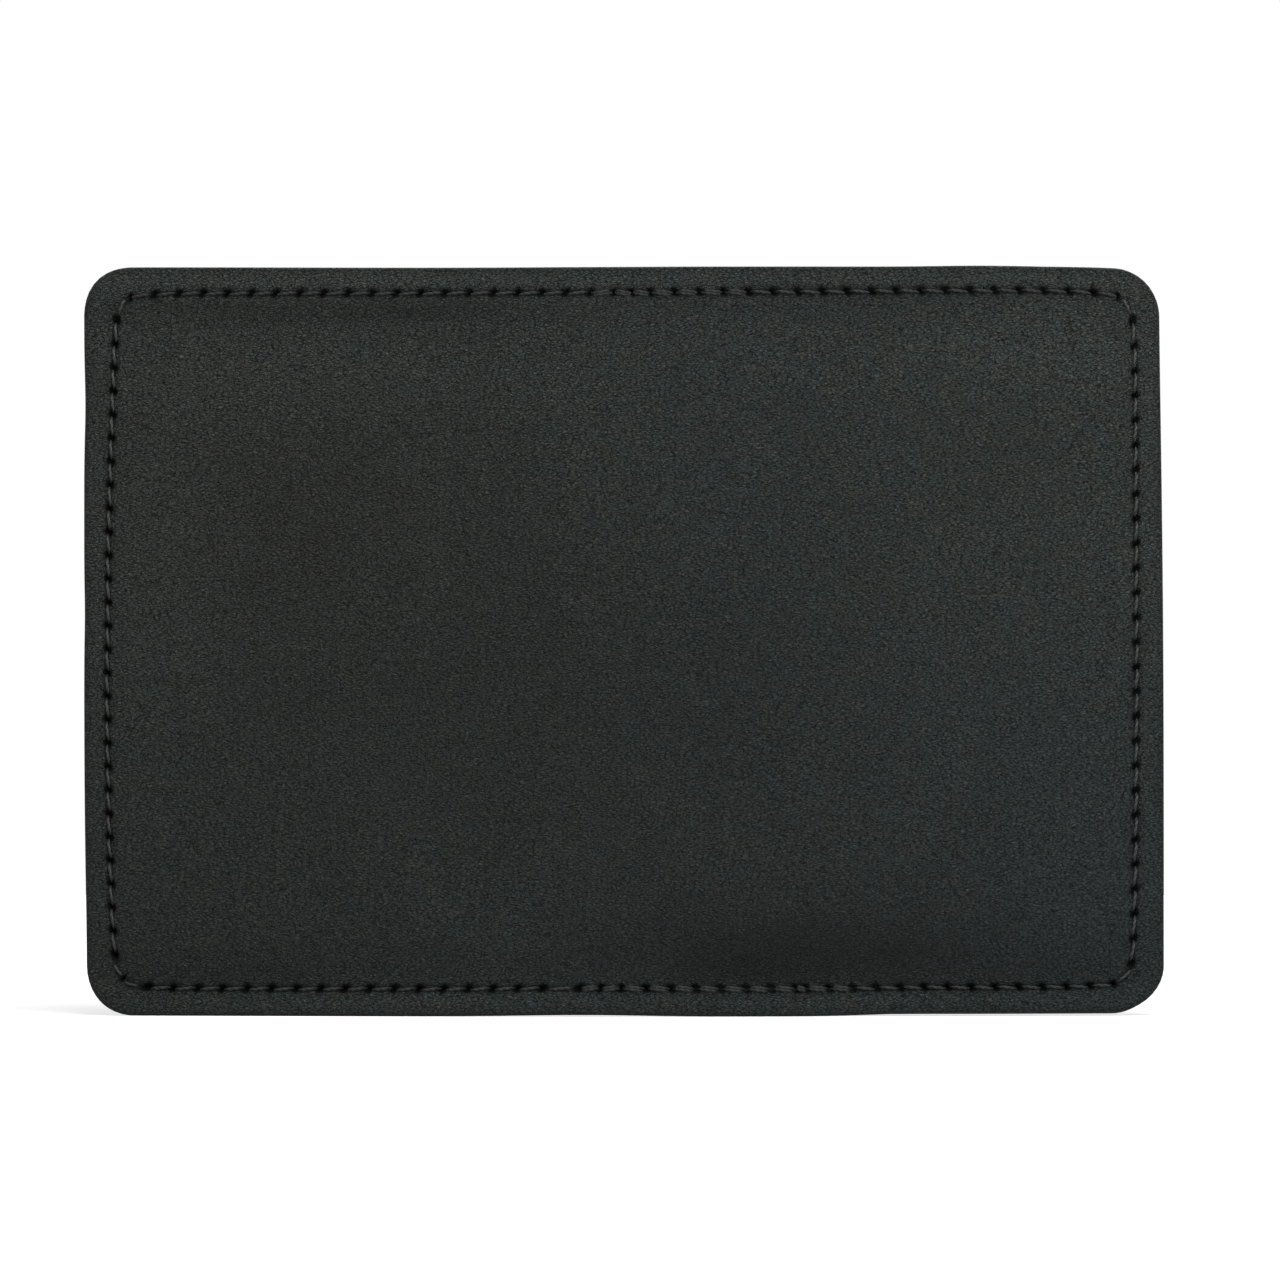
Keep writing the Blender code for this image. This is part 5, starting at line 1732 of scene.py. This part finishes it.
print("clip arm:", len(arm_parts), "shells,", len(way), "rings of", SECTION_STEPS, "points")

# %% [markdown]
# ## Pin and rivets
#
# The pin has domed ends, and the rivets have domed heads. Both are turned from profiles. A rivet
# goes through base, lining and anchor plate, with its shank hidden between two heads.

# %% Pin and rivets
PIN_RADIUS, PIN_HALF_LENGTH, PIN_DOME = 0.75, 3.35, 0.25
RIVET_HEIGHTS = {"upper": 76.0, "lower": 43.0}
RIVET_HEAD, RIVET_SHANK, RIVET_DOME = 1.7, 0.8, 0.5
RIVET_BACK, BACK_RIM, RIVET_FRONT, FRONT_RIM = 1.1, 1.4, 3.12, 3.2
DOME_END = math.radians(86)


def dome(radius, height, steps=7):
    """A cap's profile from its rim to its top."""
    turn = np.linspace(0, DOME_END, steps)
    return [(radius * math.cos(a), height * math.sin(a)) for a in turn]


pin_dome = dome(PIN_RADIUS, PIN_DOME)
half_pin = [(radius, PIN_HALF_LENGTH - PIN_DOME + rise) for radius, rise in pin_dome]
pin_profile = [(radius, -w) for radius, w in half_pin[::-1]] + half_pin
pin_shell = lathe_arrays(
    pin_profile, 32, lambda a, b, w: on_spine(w, PIN_DEPTH + a, PIN_HEIGHT + b))
nickel_part("clip_pin_turned", [pin_shell], "spine", "clip_hinge_pin")
head = [(radius, FRONT_RIM + rise) for radius, rise in dome(RIVET_HEAD, RIVET_DOME, 9)]
rivet_profile = [
    (0.3, RIVET_BACK), (RIVET_HEAD, RIVET_BACK), (RIVET_HEAD, BACK_RIM), (RIVET_SHANK, BACK_RIM),
    (RIVET_SHANK, RIVET_FRONT), (RIVET_HEAD - 0.08, RIVET_FRONT)]
for label, height in RIVET_HEIGHTS.items():
    shell = lathe_arrays(
        rivet_profile + head, 40, lambda a, b, w, height=height: on_spine(a, w, height + b))
    nickel_part(f"clip_rivet_{label}_turned", [shell], "spine", f"clip_rivet_{label}")
print("one pin and", len(RIVET_HEIGHTS), "rivets")

# %% [markdown]
# ## Torsion spring
#
# The wire lies along the base, winds two and a half times round the pin and leaves over the arm.

# %% Spring
WIRE, COIL_RADIUS, COIL_PITCH, COIL_TURNS, SPRING_LEG = 0.2, 1.1, 0.85, 2.5, 9.0
LEG_GAP = 0.1
BASE_LEG_DEPTH = -1.85 + WIRE + LEG_GAP
ARM_LEG_DEPTH = ARM_LEVEL + ARM_THICKNESS / 2 + WIRE + LEG_GAP
LEG_SHARE, LEG_START, BEND_ANGLE = 0.96, 0.45, 0.3
WIRE_SIDES = 12
reach = COIL_TURNS * COIL_PITCH / 2
base_way, arm_way = np.linspace(0, 1, 14), np.linspace(0, 1, 18)
turn = np.linspace(0, 2 * math.pi * COIL_TURNS, 100)
bend = np.linspace(0, BEND_ANGLE, 8)[1:-1]
spring_x = np.concatenate([
    np.full(len(base_way), -reach), reach * (2 * turn / turn[-1] - 1),
    np.full(len(bend) + len(arm_way), reach)])
spring_w = np.concatenate([
    BASE_LEG_DEPTH - (COIL_RADIUS + BASE_LEG_DEPTH) * ease(base_way), -COIL_RADIUS * np.cos(turn),
    COIL_RADIUS * np.cos(bend), COIL_RADIUS + (ARM_LEG_DEPTH - COIL_RADIUS) * ease(arm_way)])
spring_z = np.concatenate([
    -SPRING_LEG * (1 - LEG_SHARE * base_way), COIL_RADIUS * np.sin(turn),
    -COIL_RADIUS * np.sin(bend), -LEG_START - (SPRING_LEG - LEG_START) * arm_way])
wire_path = on_spine(spring_x, PIN_DEPTH + spring_w, PIN_HEIGHT + spring_z)[None]
along_pin = np.broadcast_to((1.0, 0.0, 0.0), wire_path.shape)
spring_points, spring_faces = tubes(wire_path, along_pin, WIRE * MM, WIRE * MM, WIRE_SIDES)[:2]
spring = new_piece("torsion_spring", spring_points, spring_faces, steel)
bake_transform(spring)
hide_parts("clip_spring")
print("spring:", len(wire_path[0]), "rings,", COIL_TURNS, "turns")

# %% [markdown]
# ## Hidden parts
#
# The two stiffener boards and the anchor plate stay as measured. They are inside the wallet, but
# they still get a real finish, because the model is also shown in pieces. Board is pressed pulp,
# so fine noise between two browns does for it.

# %% Board and anchor plate
PULP_SCALE, PULP_HEIGHT = 900.0, 0.00003
PULP_DARK, PULP_LIGHT = (0.11, 0.085, 0.06), (0.22, 0.18, 0.14)
board_finish, board_tree, board_shader = new_material("fibre_board", 0.9, 0.2)
board_place = add_node(board_tree, "ShaderNodeTexCoord").outputs["Object"]
pulp = noise(board_tree, board_place, PULP_SCALE, 6.0, 0.7)
pulp_shade = ranged(board_tree, pulp, 0.3, 0.7)
feed(board_shader, "Base Color", mixed(board_tree, pulp_shade, PULP_DARK, PULP_LIGHT))
feed(board_shader, "Normal", bump(board_tree, pulp, PULP_HEIGHT))
HIDDEN = {"left_stiffener_board": board_finish, "right_stiffener_board": board_finish,
          "clip_anchor_plate": nickel}
for node, finish in HIDDEN.items():
    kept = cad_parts[node]
    kept.data.materials.clear()
    kept.data.materials.append(finish)
print(len(HIDDEN), "hidden pieces keep the CAD's shape")
